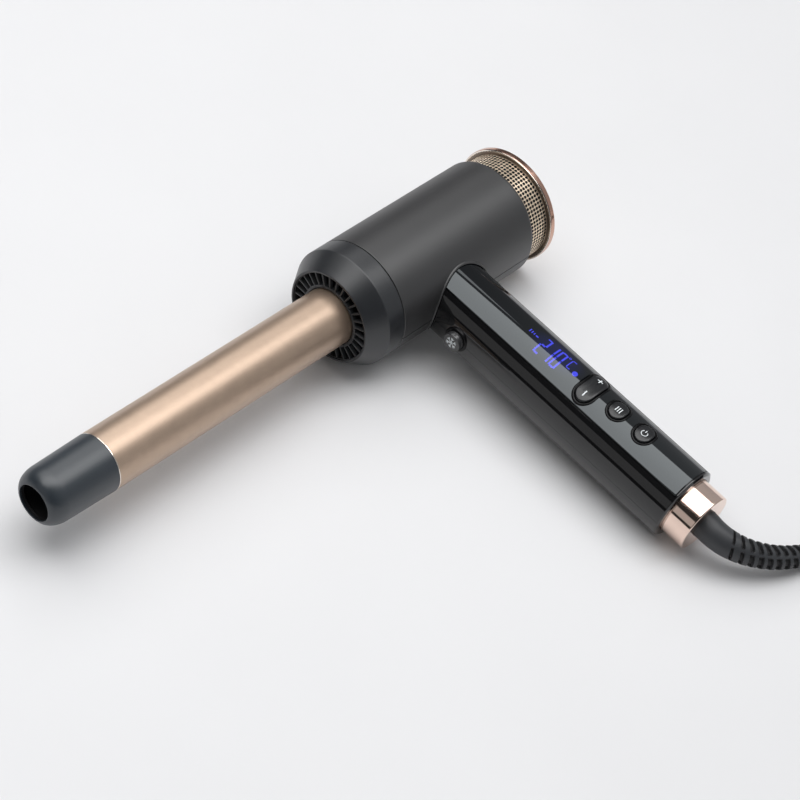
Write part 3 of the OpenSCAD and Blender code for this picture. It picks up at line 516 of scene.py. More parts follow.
cord_line = smooth_path([RELIEF_ROUTE[-2], *CORD_ROUTE, *coil_points(), *TAIL_ROUTE], 2)
cord_data = put(bpy.data.curves.new("mains_cord_line", "CURVE"), dimensions="3D", bevel_depth=CORD_D / 2000,
                bevel_resolution=4, use_fill_caps=True, resolution_u=3)
strand = cord_data.splines.new("NURBS")
strand.points.add(len(cord_line) - 1)
for spot, p in zip(strand.points, table(cord_line)):
    spot.co = (*p, 1)
put(strand, order_u=4, use_endpoint_u=True)
cord_data.materials.append(rubber)
cord = added("mains_cord_line", cord_data)
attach(cord, "body")
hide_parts("mains_cord", "cord_coil")

# ---- plug: it lies on its back, with its pins up ----
PLUG_X, PLUG_Y, PLUG_H = 262, -246, 19
PLUG_W, PLUG_D, PLUG_TAPER, PLUG_CORNER = 25, 24, 9, 8
BACK_ROUND, FRONT_ROUND = 3.4, 1.4
GROOVE_DEEP = 0.5
PIN_OUT, PIN_LEN, EARTH_LEN = 11.1, 17.7, 22.7
PLUG_CORD_Z = 9.4


def on_plug(a, b, c):
    return (PLUG_X + a, PLUG_Y + b, c)


plug_outline = fillet([(-PLUG_W, -PLUG_TAPER, 3), (-PLUG_W, PLUG_TAPER, 3), (-PLUG_W + PLUG_CORNER, PLUG_D, 9),
                       (PLUG_W - PLUG_CORNER, PLUG_D, 7), (PLUG_W, PLUG_D - PLUG_CORNER, 7),
                       (PLUG_W, -PLUG_D + PLUG_CORNER, 7), (PLUG_W - PLUG_CORNER, -PLUG_D, 7),
                       (-PLUG_W + PLUG_CORNER, -PLUG_D, 9)], 6)


def inset(by):
    """The plug's outline drawn in by a distance."""
    run = np.roll(plug_outline, -1, 0) - np.roll(plug_outline, 1, 0)
    out = unit(np.stack([run[:, 1], -run[:, 0]], -1))
    out *= np.sign(np.sum(out * plug_outline, 1))[:, None]
    return plug_outline - out * by


plug_levels = [(inset(BACK_ROUND * (1 - math.sin(t))), BACK_ROUND * (1 - math.cos(t)))
               for t in np.linspace(0.12, PI / 2, 6)]
plug_levels += [(plug_outline, 11), (inset(GROOVE_DEEP), 11.35), (inset(GROOVE_DEEP), 11.85), (plug_outline, 12.2),
                (plug_outline, PLUG_H - FRONT_ROUND)]
plug_levels += [(inset(FRONT_ROUND * (1 - math.cos(t))), PLUG_H - FRONT_ROUND * (1 - math.sin(t)))
                for t in np.linspace(0.3, PI / 2, 5)]
plug = piece("mains_plug_body", stacked(plug_levels, on_plug), plug_black, "body",
             ["plug_body"], angle=50, place=table)


def box_mesh(x0, x1, y0, y1, z0, z1):
    """A box on the plug; its heights count from the plug's front."""
    return prism([(x0, y0), (x1, y0), (x1, y1), (x0, y1)], PLUG_H + z0, PLUG_H + z1, on_plug)


def pin(x, y, w, d, length):
    """A flat plug pin with a chamfered nose; w and d are half its width and depth."""
    def rectangle(by):
        return [(by - w, by - d), (w - by, by - d), (w - by, d - by), (by - w, d - by)]
    top = PLUG_H + length
    levels = [(rectangle(0), PLUG_H - 0.5), (rectangle(0), top - 1.6), (rectangle(0.45), top)]
    return stacked(levels, lambda a, b, c: on_plug(x + a, y + b, c))


pins = piece("mains_plug_pins", joined([pin(PIN_OUT, 0, 4, 2, EARTH_LEN), pin(-PIN_OUT, PIN_OUT, 2, 3.175, PIN_LEN),
                                        pin(-PIN_OUT, -PIN_OUT, 2, 3.175, PIN_LEN)]),
             brass, "body", ["plug_pins"], bevel=0.25, place=table)
sleeves = piece("mains_plug_pin_sleeves", joined([
    box_mesh(-13.2, -9, y - 3.28, y + 3.28, -0.4, 9.5) for y in (-PIN_OUT, PIN_OUT)]),
    plug_black, "body", bevel=0.3, place=table)
fuse_cover = piece("mains_plug_fuse_cover", joined([
    box_mesh(-6.5, 1.5, -13.5, 13.5, -0.6, 0.35), box_mesh(-5.6, 0.6, -11.2, -9.4, 0, 0.9)]),
    plug_black, "body", bevel=0.25, place=table)
plug_sleeve_shape = [(224, 0), (224, 4.6, 0.5), (226.2, 4.9, 0.3), (226.2, 4.2), (227.6, 4.2), (227.6, 5.1, 0.3),
                     (230, 5.5, 0.3), (230, 4.5), (231.4, 4.5), (231.4, 5.7, 0.3), (233.8, 6.1, 0.3),
                     (233.8, 4.9), (235.2, 4.9), (235.2, 6.4, 0.3), (238, 6.8), (238, 0)]
sleeve_mesh, sleeve_normals = lathe(fillet(plug_sleeve_shape, 3), lambda u, r, a: np.stack(
    [u, PLUG_Y + r * np.cos(a), PLUG_CORD_Z + r * np.sin(a)], -1), 48)
plug_sleeve = piece("mains_plug_strain_relief", sleeve_mesh, plug_black, "body",
                    normals=sleeve_normals, place=table)

# ---- strain relief: smooth at the ring, then slotted so that it bends ----
RELIEF_R0, RELIEF_R1 = 8.0, 5.0
SLOT_FIRST, SLOT_PITCH, SLOT_W, SLOT_DEEP, SLANT = 15.8, 5.0, 3.1, 1.9, 1.8
# Two bridges run along the sleeve between the slots: half their width and the width of their edge, in radians
BRIDGE_HALF, BRIDGE_EDGE = 0.13, 0.09
FACETS, RELIEF_STEP, SLOT_EDGE, SLOTS_STOP = 72, 0.22, 0.22, 4
relief_line = smooth_path(RELIEF_ROUTE, 12)
reach = np.concatenate([[0], np.cumsum(np.linalg.norm(np.diff(relief_line, axis=0), axis=1))])
along = np.arange(0, reach[-1], RELIEF_STEP)
line = np.stack([np.interp(along, reach, relief_line[:, k]) for k in range(3)], -1)
heading = unit(np.gradient(line, axis=0))
# One bridge faces the side from which the photograph was taken
towards = unit((np.array(CAMERA_AT) * 1000 - SHIFT) - line)
facing = unit(towards - heading * np.sum(towards * heading, 1)[:, None])
aside = np.cross(heading, facing)
phi = 2 * PI * np.arange(FACETS) / FACETS
side = (phi + PI) % (2 * PI) - PI
open_side = np.clip((np.minimum(np.abs(side), PI - np.abs(side)) - BRIDGE_HALF) / BRIDGE_EDGE, 0, 1)
# The slots lean: they lie further along on one side of the sleeve than on the other
leant = along[:, None] - SLANT * side * np.sign(np.cos(phi))
slot_no = np.floor((leant - SLOT_FIRST) / SLOT_PITCH)
wide = np.clip(0.45 + 0.2 * slot_no, 0.45, 1) * SLOT_W
off_middle = np.abs((leant - SLOT_FIRST) % SLOT_PITCH - SLOT_PITCH / 2)
cut = np.clip((wide / 2 - off_middle) / SLOT_EDGE, 0, 1)
cut[(slot_no < 0) | (leant > reach[-1] - SLOTS_STOP)] = 0
cut *= open_side
taper = RELIEF_R0 + (RELIEF_R1 - RELIEF_R0) * along / reach[-1]
end_round = np.sqrt(np.clip(1 - (np.clip(along - (reach[-1] - 1.2), 0, None) / 1.25) ** 2, 0.1, 1))
skin = (taper * end_round)[:, None] - SLOT_DEEP * cut
rings = (line[:, None, :] + skin[:, :, None] * (np.cos(phi)[None, :, None] * facing[:, None, :]
                                                 + np.sin(phi)[None, :, None] * aside[:, None, :]))
relief = piece("strain_relief_sleeve", built(rings.reshape(-1, 3), capped(len(along), FACETS)), rubber, "body",
               ["strain_relief"], angle=50, place=table)
# The slots' inner faces take the black finish: painted shade, darker than the rubber itself.
corners = cut + np.roll(cut, -1, 1)
inside = (corners[:-1] + corners[1:]) / 4 > 0.2
paint_shade_on_faces(relief, [*inside.ravel(), False, False], inner_black_and_painted_shade)

# ---- wand attachment ----
TIP_WALL_R, TIP_HOLE_R = 13.2, 9.95


def bezier(a, b, c, d, t):
    return (1 - t) ** 3 * a + 3 * t * (1 - t) ** 2 * b + 3 * t * t * (1 - t) * c + t ** 3 * d


nose = [(TIP_X + bezier(0.0, 0.7, 3.6, 9.5, t), bezier(10.25, 12.6, 15.1, TIP_END_R + 0.16, t))
        for t in np.linspace(0, 1, 17)]
turned_piece("tip_cap_shell", [
    (TIP_X + 0.1, TIP_HOLE_R, 0.1), *nose, (SEAM_X - 0.15, BARREL_R, 0.18), (SEAM_X - 0.15, 13.6),
    (TIP_X + 5, TIP_WALL_R), (TIP_X + 1.3, 11.2), (TIP_X + 1.3, TIP_HOLE_R, 0.3)], tip_grey, "wand",
    ["tip_cap"], arc_steps=9)
turned_piece("tip_cap_lining", [
    (TIP_X + 1.4, 10.02), (TIP_X + 1.4, 11.1), (TIP_X + 4.9, 13.1), (TIP_X + 12, TIP_WALL_R), (TIP_X + 12, 13.0),
    (TIP_X + 5, 12.9), (TIP_X + 3, 10.02)], inner_black_and_painted_shade, "wand", steps=128)
turned_piece("tip_cap_spigot", [
    (SEAM_X - 2, 12.6), (SEAM_X - 2, 14.7), (SEAM_X + 8, 14.7, 0.3), (SEAM_X + 8, 12.6)], tip_grey,
    "wand", steps=96)
turned_piece("barrel_tube_shell", [
    (SEAM_X + 0.05, BARREL_IN_R), (SEAM_X + 0.05, BARREL_R, 0.6), (MOUTH_X + 0.4, BARREL_R), (MOUTH_X + 0.8, 15.6),
    (BARREL_REAR_X, 15.6), (BARREL_REAR_X, BARREL_IN_R)], pearl, "wand",
    ["barrel_tube"])
# A thin ring of the paler metal at the seam: a painted highlight along the barrel's end.
turned_piece("barrel_end_glint_ring", [
    (SEAM_X - 0.06, 14.9), (SEAM_X - 0.06, BARREL_R + 0.02, 0.08), (SEAM_X + 0.4, BARREL_R + 0.02, 0.08),
    (SEAM_X + 0.4, 14.9)], painted_glint_metal, "wand")
turned_piece("collar_shell_skin", [
    (COLLAR_REAR_X, COLLAR_IN_R), (COLLAR_REAR_X, HEAD_R, 0.45), (CONE_X, HEAD_R, 1.6), (MOUTH_X, 26.45, 0.5),
    (MOUTH_X, 25.25, 0.35), (MOUTH_X + 3, 25.25), (CONE_X + 1, COLLAR_IN_R)], collar_grey, "wand",
    ["collar_shell"])

VENT_X, VENT_T = -67.0, 2.2
VENT_BACK_X = VENT_X + VENT_T
VENT_HUB_R, VENT_HOLE_R, VENT_RIM_R, VENT_R = 18.0, 16.45, 24.85, 25.24
RIBS, RIB_HALF = 30, 0.52
turned_piece("vent_ring_inner_rim", [
    (VENT_X, VENT_HOLE_R, 0.3), (VENT_X, VENT_HUB_R, 0.3), (VENT_BACK_X, VENT_HUB_R),
    (VENT_BACK_X, VENT_HOLE_R)], vent_grey, "wand", ["vent_ring"])
turned_piece("vent_ring_outer_rim", [
    (VENT_X, VENT_RIM_R, 0.15), (VENT_X, VENT_R), (VENT_BACK_X, VENT_R), (VENT_BACK_X, VENT_RIM_R)],
    vent_grey, "wand")
rib_outline = fillet([(VENT_X + 0.05, -RIB_HALF, 0.3), (VENT_X + 0.05, RIB_HALF, 0.3), (VENT_BACK_X, RIB_HALF),
                      (VENT_BACK_X, -RIB_HALF)], 3)


def vent_rib(a):
    return prism(rib_outline, VENT_HUB_R - 0.3, VENT_RIM_R + 0.25,
                 lambda x, t, r: (x, r * math.cos(a) - t * math.sin(a), r * math.sin(a) + t * math.cos(a)))


piece("vent_ring_ribs", joined([vent_rib(2 * PI * k / RIBS) for k in range(RIBS)]), vent_grey, "wand")

# ---- head ----
# The fine parting line between two shells takes this from each end of a shell, in radians
HEAD_LINE_GAP, HANDLE_LINE_GAP = 0.009, 0.0035


def head_normals(shell):
    """Corner normals that follow the head's cylinder and the round at its rear, and are flat elsewhere."""
    vertex, _, normal = loop_data(shell)
    spot = points_of(shell)[vertex]
    off_axis = np.linalg.norm(spot[:, 1:], axis=1)
    ray = unit(spot * [0, 1, 1])
    lean = np.sum(ray * normal, 1)
    smooth = np.where((np.abs(lean) > 0.995)[:, None], ray * np.sign(lean)[:, None], normal)
    # The round's arcs turn about this ring
    ring_x, ring_r = HEAD_REAR_X - HEAD_END_ROUND, HEAD_R - HEAD_END_ROUND
    bend = unit(np.stack([spot[:, 0] - ring_x, *(ray[:, 1:] * (off_axis - ring_r)[:, None]).T], -1))
    rear = (spot[:, 0] > ring_x - 0.05) & (off_axis > ring_r - 0.05) & (lean > -0.1)
    on_round = rear & (np.sum(bend * normal, 1) > 0.97)
    smooth[on_round] = bend[on_round]
    return smooth


head_wall = fillet([(HEAD_FRONT_X, HEAD_IN_R), (HEAD_FRONT_X, HEAD_R, 0.4), (HEAD_REAR_X, HEAD_R, HEAD_END_ROUND),
                    (HEAD_REAR_X, SEAT_R, 0.4), (SEAT_X, SEAT_R), (SEAT_X, HEAD_IN_R)], 7)
for half, first in (("upper", 0.0), ("lower", PI)):
    shell, _ = lathe(head_wall, about_x, 128, first + HEAD_LINE_GAP, PI - 2 * HEAD_LINE_GAP)
    shell = carve(shell, [prism(round_outline(NECK_HOLE_R, 96), -15, -40, lambda a, b, c: (a, c, b))])
    piece(f"head_{half}_skin", shell, soft_charcoal, "body", [f"head_shell_{half}"],
          normals=head_normals(shell))

# raised lip where the handle leaves the head: its outline counts from the neck's axis and the head's surface
LIP_STEPS = 192
lip_shape = fillet([(21.4, -1.6), (21.4, 0.55, 0.2), (22.15, 0.55, 0.3), (22.4, -1.6)], 4)


def on_lip(r, h, a):
    x, z = r * math.sin(a), r * math.cos(a)
    return (x, -math.sqrt((HEAD_R + h) ** 2 - z * z), z)


lip = built([on_lip(r, h, 2 * PI * k / LIP_STEPS) for k in range(LIP_STEPS) for r, h in lip_shape],
            quads(LIP_STEPS, len(lip_shape), True))
piece("neck_lip", lip, soft_charcoal, "body", ["neck_trim"], angle=50)

# ---- handle ----
SLOT_LIP_Z = 20.7
SCREWS_AT, SCREW_R = (66, 177), 2.7


def follow_root(mesh):
    """The handle's inner end follows a round form about the head's axis."""
    def rooted(points):
        near = points[:, 1] > -1
        points[near, 1] = -np.sqrt(ROOT_R ** 2 - points[near, 2] ** 2)
        return points
    return move_points(mesh, rooted)


def across_x(a, b, c):
    return (a, -c, b)


def from_above(a, b, c):
    return (a, -b, c)


def arc_points(r, half_width, steps=48):
    t = math.asin(half_width / r)
    return [(r * math.sin(a), r * math.cos(a)) for a in np.linspace(-t, t, steps)]


def grown(control, grow):
    """A control's outline drawn out by a distance; its second number counts from the control's place."""
    _, length, width = control
    return stadium(length + 2 * grow, width + 2 * grow)


def control_cut(control, low):
    outline = [(a, control[0] + b) for a, b in grown(control, BEZEL_W + 0.02)]
    return prism(outline, low, 30, from_above)


half_slot = PANEL_W / 2 + PANEL_GAP
panel_slot = prism(arc_points(HANDLE_R - PANEL_T, half_slot) + [
    (half_slot, SLOT_LIP_Z), (half_slot + 0.25, 22), (-half_slot - 0.25, 22), (-half_slot, SLOT_LIP_Z)],
    -5, PANEL_END + PANEL_GAP, across_x)
cool_cut = prism(round_outline(COOL_R + COOL_RIM_W, 64), -30, -15.6, lambda a, b, c: (c, -COOL_AT + a, b))
openings = [control_cut(control, 11.2) for control in CONTROLS]
screw_cuts = [prism(round_outline(SCREW_R, 48, 0, at), -30, -14.9, from_above) for at in SCREWS_AT]
wall = fillet([(0, HANDLE_IN_R), (0, HANDLE_R), (HANDLE_LEN - 0.9, HANDLE_R, 0.4),
               (HANDLE_LEN, HANDLE_R - END_CHAMFER, 0.3), (HANDLE_LEN, RING_R + 0.3, 0.15),
               (HANDLE_LEN - 2.5, RING_R + 0.3), (HANDLE_LEN - 2.5, HANDLE_IN_R)], 4)
for half, first, cuts in (("upper", -PI / 2, [panel_slot, cool_cut, *openings]),
                          ("lower", PI / 2, [cool_cut, *screw_cuts])):
    shell, _ = lathe(wall, about_handle, 128, first + HANDLE_LINE_GAP, PI - 2 * HANDLE_LINE_GAP)
    shell = carve(follow_root(shell), [c.copy() for c in cuts])
    piece(f"handle_{half}_skin", shell, piano, "body", [f"handle_shell_{half}"],
          normals=handle_normals(shell))

# control panel: one glossy curved slab with the controls' openings and a rounded end
half_w = PANEL_W / 2
panel_edge_z = HANDLE_R * math.cos(math.asin(half_w / HANDLE_R)) - 0.26
levels = []
for s, drop in [(0, 0), (PANEL_END - 0.3, 0), (PANEL_END - 0.13, 0.04), (PANEL_END - 0.04, 0.13),
                (PANEL_END, 0.3)]:
    top = arc_points(HANDLE_R - drop, half_w - 0.28, 56)
    edge_x = half_w - drop * 0.9
    under = arc_points(HANDLE_R - PANEL_T + 0.03, edge_x, 24)[::-1]
    levels.append(([(-edge_x, panel_edge_z), *top, (edge_x, panel_edge_z), *under], s))
slab = follow_root(stacked(levels, across_x))
slab = carve(slab, [control_cut(control, 5) for control in CONTROLS])
piece("control_panel_glass", slab, glass, "body", ["control_panel"],
      normals=handle_normals(slab, 0.12))


# bezels, rocker and buttons

def on_handle(x, s, c):
    """x across the handle, s along it, c above its round surface."""
    return (x, -s, math.sqrt((HANDLE_R + c) ** 2 - x * x))


# Each level: how far the outline is drawn out, and its height
BEZEL_EDGE = BEZEL_W - 0.18
BEZEL_LEVELS = [(BEZEL_EDGE - back, c) for back, c in (
    (0, -2.2), (0, -0.1), (0.05, 0.1), (0.17, 0.25), (0.35, 0.33), (0.55, 0.35), (0.72, 0.32), (0.86, 0.22),
    (0.93, 0.06), (0.95, -0.2))] + [(0.42, -0.24), (0.34, -0.32), (0.3, -0.5), (0.3, -2.2)]
CAP_LEVELS = [(0.0, -3.2), (0.0, 0.1), (-0.05, 0.3), (-0.16, 0.44), (-0.34, 0.54), (-0.6, 0.6), (-1.4, 0.6),
              (-2.4, 0.58), (-3.2, 0.57)]
CAP_TOP = 0.6


def bezel(control):
    """A rounded rim round a slot, with a step down to the cap inside it."""
    verts = [on_handle(a, control[0] + b, c) for grow, c in BEZEL_LEVELS for a, b in grown(control, grow)]
    return built(verts, quads(len(BEZEL_LEVELS), len(verts) // len(BEZEL_LEVELS), True))


def cap(control):
    return stacked([(grown(control, grow), c) for grow, c in CAP_LEVELS],
                   lambda a, b, c: on_handle(a, control[0] + b, c))


piece("control_bezel_rims", joined([bezel(control) for control in CONTROLS]), bezel_black, "body",
      ["control_bezels"], angle=50)
for name, control, body in (("temperature_rocker", ROCKER, "rocker"), ("mode_button", MODE, "mode"),
                            ("power_button", POWER, "power")):
    piece(f"{name}_cap", cap(control), satin_black, body, [name], angle=40)

# ---- marks: flat outlines of (s, x) points, laid on the handle's round surface ----
MARK_T, STRIP_W = 0.012, 0.6


def strips(s0, s1, x0, x1):
    """A rectangle, split across the handle into narrow strips that follow its round."""
    xs = np.linspace(x0, x1, max(1, math.ceil(abs(x1 - x0) / STRIP_W)) + 1)
    return [[(s0, a), (s1, a), (s1, b), (s0, b)] for a, b in zip(xs, xs[1:])]


def ring_strips(s, x, r0, r1, first=0, last=360, steps=28):
    """Part of a flat ring; angles in degrees, 0 along +s and 90 towards +x."""
    def at(r, k):
        angle = math.radians(first + (last - first) * k / steps)
        return (s + r * math.cos(angle), x + r * math.sin(angle))
    return [[at(r0, k), at(r1, k), at(r1, k + 1), at(r0, k + 1)] for k in range(steps)]


def mark(name, shapes, body, lift=CAP_TOP, finish=mark_white):
    mesh = joined([prism(outline, lift, lift + MARK_T, lambda s, x, c: on_handle(x, s, c)) for outline in shapes])
    return piece(name, mesh, finish, body, normals=handle_normals(mesh))


at = ROCKER[0]
mark("minus_mark", strips(at - 0.34, at + 0.34, -8.3, -4.9), "rocker")
mark("plus_mark", strips(at - 0.3, at + 0.3, 4.4, 8.0) + strips(at - 1.75, at - 0.3, 5.9, 6.5)
     + strips(at + 0.3, at + 1.75, 5.9, 6.5), "rocker")
at = MODE[0]
mark("mode_mark", [q for k in (-1, 0, 1) for q in strips(at + k * 1.35 - 0.25, at + k * 1.35 + 0.25, -2.1, 1.5)],
     "mode")
at = POWER[0]
mark("power_mark", ring_strips(at, -0.5, 1.55, 1.95, 130, 410) + strips(at - 0.22, at + 0.22, 0.1, 2.0), "power")

# display: seven-segment digits and small signs, lit through the panel
DIGIT_H, DIGIT_W, STROKE, NICK, LIT_X = 12.8, 4.4, 1.05, 0.3, -1.7
# Place along the handle of each digit, with its lit segments
DIGITS = ((88.4, (0, 1, 3, 4, 6)), (93.9, (1, 2)), (99.4, (0, 1, 2, 3, 4, 5)))
h, w, t = DIGIT_H / 2, DIGIT_W / 2, STROKE
SEGMENTS = [(-w + t, w - t, h - t, h), (w - t, w, NICK, h - NICK), (w - t, w, -h + NICK, -NICK),
            (-w + t, w - t, -h, -h + t), (-w, -w + t, -h + NICK, -NICK), (-w, -w + t, NICK, h - NICK),
            (-w + t, w - t, -t / 2, t / 2)]
lit = []
for at, segments in DIGITS:
    for s0, s1, x0, x1 in [SEGMENTS[k] for k in segments]:
        lit += strips(at + s0, at + s1, LIT_X + x0, LIT_X + x1)
# the degree sign, the scale's letter, the air flow's bars and a dot
lit += ring_strips(102.7, 4.2, 0.35, 0.75, steps=20)
for bar in ((104.5, 105.1, -1.7, 4.2), (104.9, 107.2, 4.2, 4.8), (104.9, 107.2, -2.3, -1.7),
            (77.0, 77.6, -1.0, 1.3), (78.5, 79.1, -0.8, 1.0), (80.0, 80.6, -0.6, 0.7), (81.5, 83.2, -0.5, 0.3)):
    lit += strips(*bar)
lit += ring_strips(111.0, -1.7, 0.0, 1.6, steps=24)
digits = mark("display_digits_lit", lit, "body", 0.004, lit_blue)
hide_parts("display_digits")

# a little of the digits' light spreads in the panel round them; its place in millimetres, its reach in metres
GLOW_AT, GLOW_REACH, GLOW = (0.5, -96.5, HANDLE_R), (0.011, 0.021, 0.013), 0.045
tree = glass.node_tree
shader = tree.nodes["Principled BSDF"]
away = node(tree, "VectorMath", {1: device([GLOW_AT])[0]}, operation="SUBTRACT")
squeezed = node(tree, "VectorMath", {1: [1 / r for r in GLOW_REACH]}, operation="MULTIPLY")
distance = node(tree, "VectorMath", operation="LENGTH")
tree.links.new(node(tree, "TexCoord").outputs["Object"], away.inputs[0])
tree.links.new(away.outputs["Vector"], squeezed.inputs[0])
tree.links.new(squeezed.outputs["Vector"], distance.inputs[0])
tree.links.new(smooth_range(tree, distance.outputs["Value"], 0.25, 1.0, GLOW, 0.0),
               shader.inputs["Emission Strength"])
shader.inputs["Emission Color"].default_value = (0.08, 0.13, 1.0, 1)


# ---- cool-shot button ----

def beside(u, r, a):
    """Turned about the cool-shot button's axis; u counts outwards from the handle's axis."""
    return np.stack([-u, -COOL_AT + r * np.cos(a), r * np.sin(a)], -1)


turned_piece("cool_shot_rim", [
    (17.6, COOL_R + 0.3), (21.6, COOL_R + 0.3, 0.25), (21.6, COOL_R + COOL_RIM_W, 0.5),
    (17.6, COOL_R + COOL_RIM_W)], bezel_black, "body", ["cool_shot_bezel"], beside, 96)
turned_piece("cool_shot_cap", [
    (16, 0), (16, COOL_R), (22.1, COOL_R, 0.1), (22.2, COOL_R - 0.2, 0.1), (22.5, COOL_R - 0.2, 0.1),
    (22.6, COOL_R, 0.1), (25.0, COOL_R, 0.4), (24.9, COOL_R - 0.9, 0.3), (24.75, 0)], cool_cap,
    "cool_shot", ["cool_shot_button"], beside, 96)

# snowflake: six arms with two branches each
LIMB_HALF = 0.17
FLAKE_LOW, FLAKE_HIGH, FLAKE_STEP = 24.74, 24.86, 0.01


def limb(start, end):
    n = np.array([-(end - start)[1], (end - start)[0]])
    n = n / np.linalg.norm(n) * LIMB_HALF
    return [start + n, end + n, end - n, start - n]


flake = []
for k in range(6):
    a = math.radians(60 * k + 30)
    d, e = np.array([math.cos(a), math.sin(a)]), np.array([-math.sin(a), math.cos(a)])
    flake += [limb(0 * d, 3.5 * d), limb(2.0 * d, 3.0 * d + e), limb(2.0 * d, 3.0 * d - e)]
# Each limb is a little higher than the one before, so that no two tops lie in one plane
piece("snowflake_mark", joined([
    prism(outline, FLAKE_LOW, FLAKE_HIGH + FLAKE_STEP * k, lambda a, b, c: (-c, -COOL_AT + a, b))
    for k, outline in enumerate(flake)]), mark_white, "cool_shot", angle=20)

# ---- end ring, with a fine groove near the handle ----
RING_FACE, RING_GROOVE_R = RING_END - 0.1, RING_R - 0.35
turned_piece("end_ring_skin", [
    (HANDLE_LEN - 2.4, RING_BACK_R), (HANDLE_LEN - 2.4, RING_R), (HANDLE_LEN + 0.35, RING_R, 0.1),
    (HANDLE_LEN + 0.45, RING_GROOVE_R, 0.1), (HANDLE_LEN + 0.9, RING_GROOVE_R, 0.1),
    (HANDLE_LEN + 1.0, RING_R, 0.12), (RING_FACE, RING_R, 0.75), (RING_FACE, RING_IN_R, 0.15),
    (RING_END - 2.4, RING_IN_R), (RING_END - 2.4, RING_BACK_R)], rose, "body",
    ["end_ring"], about_handle)

# ---- intake filter ----
# Its band is made of square cells, each with a round hole: ROWS along the head, COLUMNS round it
BAND_R, BAND_T, HOLE_R, HOLE_CHAMFER = 30.3, 0.55, 0.88, 0.08
ROWS, COLUMNS, ROW_FIRST, ROW_PITCH = 6, 88, 60.7, 2.13
PITCH_ANGLE = 2 * PI / COLUMNS
RIM = 16
circle = round_outline(1, RIM)
square = [(c / max(abs(c), abs(s)), s / max(abs(c), abs(s))) for c, s in circle]


def hole(r):
    """A hole's outline, in millimetres along the head and radians round it."""
    return [(c * r, s * r / BAND_R) for c, s in circle]


cell_edge = [(c * ROW_PITCH / 2, s * PITCH_ANGLE / 2) for c, s in square]
layers = [(cell_edge, 0.0), (hole(HOLE_R + HOLE_CHAMFER), 0.0), (hole(HOLE_R), HOLE_CHAMFER),
          (hole(HOLE_R), BAND_T), (cell_edge, BAND_T)]
verts, faces = [], []
for row in range(ROWS):
    for column in range(COLUMNS):
        faces += [[len(verts) + i for i in face] for face in quads(len(layers), RIM)]
        for outline, deep in layers:
            for u, a in outline:
                a += column * PITCH_ANGLE
                verts.append((ROW_FIRST + row * ROW_PITCH + u, (BAND_R - deep) * math.cos(a),
                              (BAND_R - deep) * math.sin(a)))
band = built(verts, faces, merge=0.002)
mesh_band = piece("filter_mesh_band", band, mesh_gold, "filter", ["filter_band"], angle=25)
# The holes' walls take the black finish: painted shade inside the holes.
paint_shade_on_faces(mesh_band, [k // RIM % (len(layers) - 1) >= 2 for k in range(len(band.polygons))], inner_black_and_painted_shade)
band_front, band_rear = ROW_FIRST - ROW_PITCH / 2, ROW_FIRST + (ROWS - 0.5) * ROW_PITCH
turned_piece("filter_mesh_front_edge", [
    (BAND_X, BAND_R - BAND_T), (BAND_X, BAND_R, 0.15), (band_front, BAND_R), (band_front, BAND_R - BAND_T)],
    mesh_gold, "filter", steps=2 * COLUMNS)
turned_piece("filter_mesh_rear_edge", [
    (band_rear, BAND_R - BAND_T), (band_rear, BAND_R), (FLANGE_X + 0.3, BAND_R),
    (FLANGE_X + 0.3, BAND_R - BAND_T)], mesh_gold, "filter", steps=2 * COLUMNS)
turned_piece("filter_flange_skin", [
    (FLANGE_X, 26.6), (FLANGE_X, 30.0), (FLANGE_X + 0.35, 30.35, 0.1), (FLANGE_X + 0.35, 30.75, 0.1),
    (FLANGE_X, 31.0, 0.1), (FLANGE_X, 32.2, 0.2), (FLANGE_X + 0.6, 32.25), (FLANGE_X + 0.6, 26.6)],
    taupe, "filter", ["filter_flange"])
# The lip's paler metal paints a highlight line between the flange and the rose band.
turned_piece("filter_flange_glint_lip", [
    (FLANGE_X + 0.6, 32.2), (FLANGE_X + 0.05, 32.2), (FLANGE_X - 0.1, 32.5, 0.12), (FLANGE_X - 0.05, 32.95, 0.15),
    (FLANGE_X + 0.15, 33.05), (FLANGE_X + 0.6, 33.05)], painted_glint_metal, "filter")
turned_piece("filter_rose_band_skin", [
    (FLANGE_X + 0.2, 32.3), (FLANGE_X + 0.2, HEAD_R - 0.25, 0.1), (FLANGE_X + 0.55, HEAD_R, 0.2),
    (REAR_X, HEAD_R, 0.8), (REAR_X, REAR_IN_R, 0.3), (REAR_X - 2, REAR_IN_R), (REAR_X - 2, 32.3)],
    copper, "filter", ["filter_rose_band"])

# rear grille: rings of round holes in a thin plate
GRILLE_X, GRILLE_T, GRILLE_RINGS, GRILLE_PITCH, GRILLE_HOLE_R = 74.1, 1.6, 14, 2.13, 0.62


def through_x(a, b, c):
    return (c, a, b)


punches = []
for ring in range(GRILLE_RINGS):
    count = max(1, 6 * ring)
    for i in range(count):
        a, r = 2 * PI * (i + 0.5 * (ring % 2)) / count, ring * GRILLE_PITCH
        punches.append(prism(round_outline(GRILLE_HOLE_R, 10, r * math.cos(a), r * math.sin(a)),
                             GRILLE_X - 1, GRILLE_X + 3, through_x))
plate = carve(prism(round_outline(REAR_IN_R, 128), GRILLE_X, GRILLE_X + GRILLE_T, through_x), [joined(punches)])
piece("rear_grille_plate", plate, mesh_gold, "filter", ["rear_grille"], angle=30)

